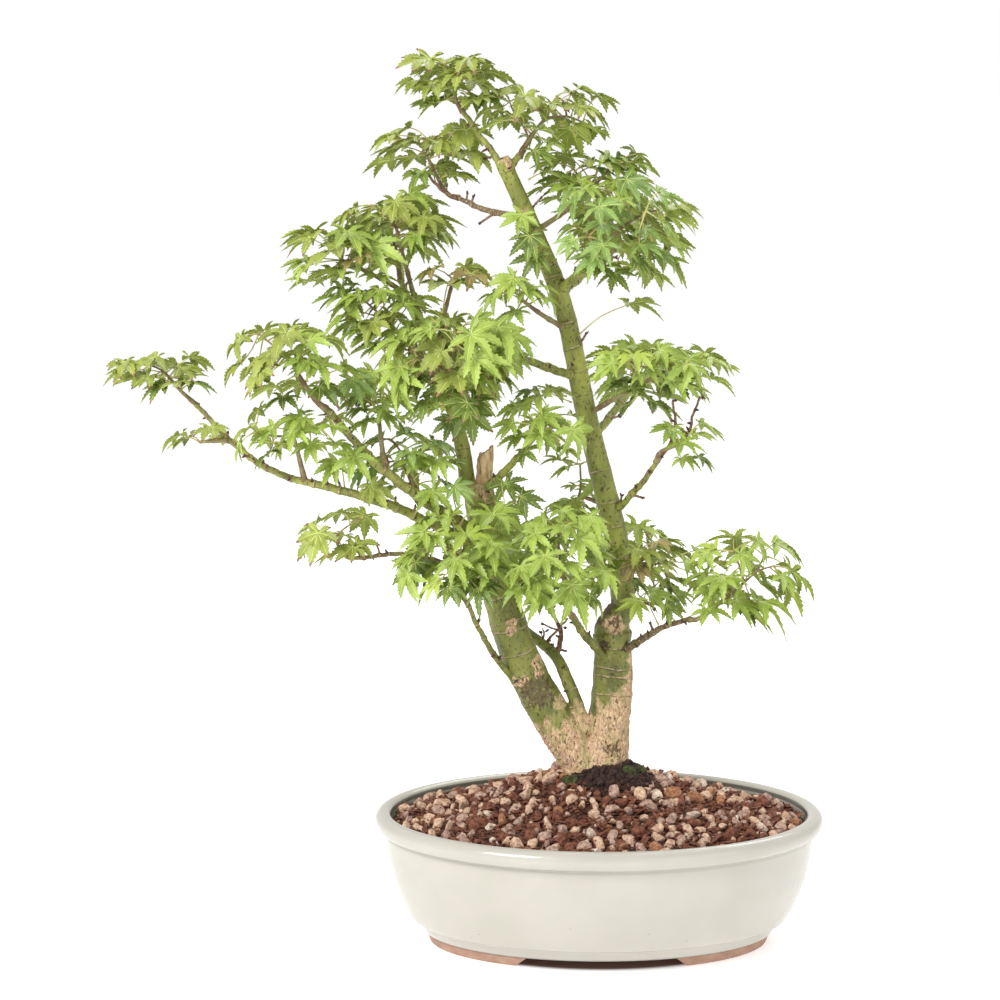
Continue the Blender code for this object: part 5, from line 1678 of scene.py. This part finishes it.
def leaf_place(head, pointing, facing):
    """A leaf's place: its head, the way its middle lobe points and the way its upper face looks."""
    along = pointing.normalized()
    up = (facing - along * facing.dot(along)).normalized()
    turn = Matrix((along.cross(up), along, up)).transposed().to_4x4()
    return Matrix.Translation(head) @ turn


class Mass(Space):
    """One mass of leaves with its twigs."""

    def add_leaf(self, head, pointing, facing, reach, root, kind):
        """One leaf at a chosen place, on a stalk from a chosen root."""
        place = leaf_place(Vector(head), Vector(pointing), Vector(facing))
        self.own.add(star(place, reach), star_faces)
        self.leaves.append((place, reach, Vector(root), kind, self.random.randrange(len(templates))))

    def choose_place(self, middle):
        """The place of a leaf round a middle, the way it points and its reach."""
        out = self.random.uniform
        outward = Vector((middle.x - self.centre.x, middle.y - self.centre.y, 0)).normalized()
        outward += Vector((self.centre.x - TREE_X, self.centre.y - TREE_Y, 0)).normalized() * 0.7
        outward = outward.normalized() if outward.length > 0.1 else Vector((0, -1, 0))
        swing = Vector((out(-0.9, 0.9), out(-0.9, 0.9), -0.5 * self.facing - out(-0.05, 0.25)))
        face = Vector((out(-0.3, 0.3), out(-0.3, 0.3), 1 - 0.3 * self.facing))
        place = leaf_place(middle, outward + swing, face + outward * self.facing * 0.9)
        along = place.to_3x3().col[1]
        reach = self.reach * out(0.72, 1.18)
        place.translation = middle - along * MIDDLE_SHARE * reach
        return place, along, reach

    def branch_to(self, head, along, root, twig, others):
        """A new twig from a root towards a head, or None where it doesn't fit."""
        back = ((head - root).normalized() + along).normalized()
        stop = head - back * NEW_STALK * self.reach
        outside = root + (stop - root).normalized() * 3 * twig[2]
        if (stop - root).length < SHORTEST_TWIG or not self.holds([stop]):
            return None
        if not self.free(*box_along(outside, stop, TWIG_CLEARANCE), others):
            return None
        return root, stop, twig, outside

    def try_leaf(self, middle, others):
        """A leaf round this middle, with its twig if it needs one, if both fit."""
        out = self.random.uniform
        place, along, reach = self.choose_place(middle)
        head = place.to_translation()
        root, twig = self.nearest_twig(head)
        branch = None
        if (head - root).length > LONGEST_STALK * self.reach:
            branch = self.branch_to(head, along, root, twig, others)
            if branch is None:
                return False
            root = branch[1]
        heading = head - root
        if heading.length < SHORTEST_STALK * self.reach or along.dot(heading.normalized()) < 0.1:
            return False
        points = star(place, reach)
        if not self.holds(points[2:]) or not self.free(points, star_faces, others):
            return False
        if branch is not None:
            start, stop, parent, outside = branch
            thick = max(0.75 * parent[2], 0.75)
            bend = start.lerp(stop, 0.5) + Vector((out(-2, 2), out(-2, 2), out(0, 3)))
            self.add_twig([start, bend, stop], thick, max(0.6, 0.75 * thick), outside)
            twig = self.twigs[-1]
            root = twig[0][-1]
        self.own.add(points, star_faces)
        kind = twig[3] if out(0, 1) < SAME_KIND_CHANCE else KIND_LETTERS[self.random.choice(self.kinds)]
        self.leaves.append((place, reach, root, kind, self.random.randrange(len(templates))))
        return True

    def grow(self, others):
        """Leaf after leaf, until there are enough or no more fit."""
        middles = []

        def clearance(place):
            return min([(place - other).length for other in middles], default=FAR_AWAY)

        for _ in range(TRIES * self.wanted):
            spots = [self.random_spot() for _ in range(CHOICES)]
            middle = max(spots, key=clearance)
            if self.try_leaf(middle, others):
                middles.append(middle)
            if len(middles) == self.wanted:
                break


masses = [Mass(name, number) for number, name in enumerate(MASSES)]
print("stems for", len(masses), "masses")

# %% [markdown]
# Some leaves of the photograph's tree stand free of the masses, so they are placed one by one. Each
# line gives a leaf's head, the way its middle lobe points, the way its upper face looks, its reach,
# the root of its stalk and its kind.

# %% Place the lone leaves
# A lone leaf of the darkest kind stands in the shade: painted shade.
LONE_LEAVES = {
    "right": [((22, 6, 504), (1, -0.2, 0.04), (0, 0.14, 1), 29, (-17, 34, 477), "olive")],
    "hanging": [((-118, 2, 521), (0.15, -1, 0), (0, 0.05, 1), 35, (-124, 12, 486), "olive")],
    "inner_upper": [((-176, -8, 453), (-0.4, -0.5, -0.7), (0.1, -0.8, 0.6), 26, (-175, 0, 430), "fresh"),
                    ((-191, -20, 449), (0.3, -0.5, -0.8), (-0.1, -0.8, 0.6), 24, (-184, -18, 428), "cool")],
    "inner_left": [((-190, -28, 391), (-0.2, -0.5, -0.8), (0, -0.8, 0.6), 25, (-172, -19, 382), "fresh"),
                   ((-204, -14, 384), (-0.5, -0.4, -0.6), (0, -0.7, 0.7), 23, (-198, -11, 361), "fresh"),
                   ((-178, -16, 366), (0.4, -0.5, -0.5), (0, -0.8, 0.6), 22, (-176, -11, 355), "olive"),
                   ((-131, -8, 361), (0.2, -0.6, -0.7), (0.1, -0.8, 0.6), 24, (-126, 3, 344), "fresh"),
                   ((-113, -6, 364), (0.6, -0.5, -0.5), (0.1, -0.8, 0.6), 22, (-110, 13, 334), "cool")],
    "inner_front": [((-74, 6, 364), (0.3, -0.6, -0.6), (0.1, -0.7, 0.7), 24, (-82, 16, 366), "fresh"),
                    ((-62, -2, 355), (0.8, -0.4, -0.4), (0.2, -0.7, 0.6), 22, (-79, 12, 368), "fresh"),
                    ((-74, -10, 348), (0.1, -0.4, -0.8), (0, -0.8, 0.5), 23, (-78, 10, 369), "olive"),
                    ((-41, 0, 439), (0.9, -0.4, -0.05), (0, -0.05, 1), 25, (-22, 28, 425), "olive"),
                    ((-50, 4, 437), (-0.9, -0.3, -0.1), (0, -0.05, 1), 22, (-26, 26, 430), "deep")],
    "mid_front": [((-101, -20, 423), (0.2, -0.4, -0.9), (0, -0.9, 0.4), 26, (-107, -12, 442), "olive"),
                  ((-116, -2, 416), (-0.3, -0.3, -0.9), (0, -0.9, 0.4), 22, (-112, 6, 434), "deep"),
                  ((-70, -30, 483), (0.8, -0.4, -0.4), (0.3, -0.6, 0.8), 26, (-84, -34, 474), "fresh"),
                  ((-69, -20, 467), (0.9, -0.3, -0.5), (0.3, -0.6, 0.8), 22, (-85, -24, 464), "fresh")],
    "stump": [((30, 10, 271), (-0.4, -0.4, -0.8), (0, -0.9, 0.4), 20, (42, 22, 277), "lime")],
    "upper_middle": [((57, 40, 578), (1, -0.2, 0), (0, 0.05, 1), 27, (38, 46, 570), "olive"),
                     ((-43, 44, 604), (1, -0.5, -0.05), (0, 0, 1), 30, (-56, 42, 598), "deep"),
                     ((-7, 50, 613), (1, -0.4, 0), (0, 0.05, 1), 32, (-20, 54, 603), "olive")],
    "apex_right": [((-51, 40, 621), (0.6, -0.7, -0.4), (0.1, -0.6, 0.8), 24, (-57, 42, 612), "fresh")],
    "upper_right": [((-55, 10, 557), (-0.2, -0.5, -0.8), (0, -0.8, 0.6), 25, (-42, 24, 560), "fresh"),
                    ((-49, 14, 541), (-0.6, -0.4, -0.6), (0, -0.8, 0.5), 25, (-40, 30, 547), "cool"),
                    ((-61, 20, 572), (-0.3, -0.5, -0.7), (0, -0.8, 0.6), 23, (-54, 34, 575), "fresh")],
    "low_right": [((40, 8, 277), (0.9, -0.2, -0.2), (0.2, -0.5, 1), 22, (47, 16, 250), "fresh"),
                  ((52, 4, 268), (0.8, -0.4, -0.5), (0.3, -0.8, 1), 20, (60, 13, 253), "lime")],
    "low_front": [((-143, -14, 306), (-0.1, -0.3, -1), (-0.1, -1, 0.3), 29, (-146, 0, 309), "fresh")],
}
for mass in masses:
    for leaf in LONE_LEAVES.get(mass.name, ()):
        mass.add_leaf(*leaf)
print(sum(len(mass.leaves) for mass in masses), "leaves placed one by one")

# %% [markdown]
# Now the masses grow one after another, and each keeps clear of the masses near it.


# %% Grow the masses
def near(mass, other):
    """Whether two spaces come close enough for their leaves to meet."""
    apart = mass.centre - other.centre
    return other is not mass and all(abs(a) < h + k + 4 for a, h, k in zip(apart, mass.half, other.half))


for mass in masses:
    mass.grow([other for other in masses if near(mass, other)])
    print(f"{mass.name}: {len(mass.leaves)} of {mass.wanted} leaves on {len(mass.twigs)} twigs")
print(sum(len(mass.leaves) for mass in masses), "leaves in all")

# %% [markdown]
# Now the foliage is made real. Twigs are noded sweeps, like the boughs. A stalk is a slim curve
# from its twig to the head of its leaf, thicker where it begins.

# %% Make the twigs and stalks
TWIG_SIDES, STALK_SIDES = 7, 5
TWIG_SPACING = 13
STALK_RADII = (0.62, 0.42)
STALK_FOOT = 0.95
twig_bark = Finish("twig_bark")
twig_tone = twig_bark.patches(9, (0.27, 0.24, 0.09), (0.19, 0.115, 0.06), detail=4)
twig_flecks = twig_bark.step(twig_bark.cloud(3), 0.55, 0.7)
twig_bark.feed("Base Color", twig_bark.mix(twig_flecks * 0.6, twig_tone, (0.42, 0.34, 0.19)))
twig_bark.feed("Roughness", 0.55 + 0.2 * twig_bark.cloud(3))
twig_bark.relief(twig_bark.cloud(1.2, 3), 0.2)
twig_heap = Heap()
stalk_heap = Heap()
for mass in masses:
    for route, radii in mass.bends:
        fine_route = smooth(route, 2.2)
        spread = np.interp(np.linspace(0, 1, len(fine_route)), np.linspace(0, 1, len(radii)), radii)
        spread, _ = noded(fine_route, spread, mass.random, TWIG_SPACING)
        twig_heap.add(*sweep(fine_route, spread, TWIG_SIDES))
    for place, reach, root, kind, number in mass.leaves:
        head = place.translation
        along = place.to_3x3().col[1]
        bow = (head - root - along * (head - root).length) * 0.12
        guides = [root, root.lerp(head, 0.5) + bow, head, head + along * 0.03 * reach]
        stalk = smooth([point[:] for point in guides], 5)
        stalk_radii = np.linspace(*STALK_RADII, len(stalk))
        stalk_radii[0] = STALK_FOOT
        stalk_heap.add(*sweep(stalk, stalk_radii, STALK_SIDES))
all_masses = ["leaves_" + name for name in MASSES]
twig_heap.piece("twigs", "green_bark", [twig_bark], all_masses)
stalk_heap.piece("leaf_stalks", "leaf", [stalk_skin])

# %% [markdown]
# For every leaf a template is scaled, turned and put at its head, and each kind of leaf goes into its own
# mesh. Most leaves low in their mass or at its back are painted deep green, as painted shade.
# Olive and bronze leaves take the wide templates, and some of them have dry tips.

# %% Hang the leaves
WIDE_KINDS = ("olive", "bronze")
DRY_CHANCE = 0.45
SHADED_HEIGHT = -0.2
SHADED_CHANCE = 0.7
UNDERSIDE_SKIN, TIP_SKIN = 1, 2
leaf_heaps = {kind: Heap() for kind in LEAF_KINDS}
rib_heap = Heap()
for mass in masses:
    for place, reach, root, kind, number in mass.leaves:
        wide = kind in WIDE_KINDS
        template = templates[NARROW_LEAVES + number % WIDE_LEAVES if wide else number % NARROW_LEAVES]
        turn = np.array(place.to_3x3()).T * reach
        points = template.points @ turn + np.array(place.translation)
        raised = (place.translation.z - mass.centre.z) / mass.half.z
        behind = (place.translation.y - mass.centre.y) / mass.half.y
        # Leaves low in their mass or at its back mostly get the darkest kind: painted shade.
        if raised - 0.5 * behind < SHADED_HEIGHT and mass.random.random() < SHADED_CHANCE:
            kind = "deep"
        heap = leaf_heaps[kind]
        heap.add(points, template.upper + template.lower)
        dry = wide and mass.random.random() < DRY_CHANCE
        skins = [TIP_SKIN * (dry and end) for end in template.dry] + [UNDERSIDE_SKIN] * len(template.lower)
        heap.which[-len(skins):] = skins
        rib_heap.add(template.rib_points @ turn + np.array(place.translation), template.rib_faces)
for kind, heap in leaf_heaps.items():
    heap.piece(kind + "_leaves", "leaf", [leaf_skins[kind], underside, tip_skin], crisp=True)
rib_heap.piece("leaf_ribs", "leaf", [rib_skin])

# %% [markdown]
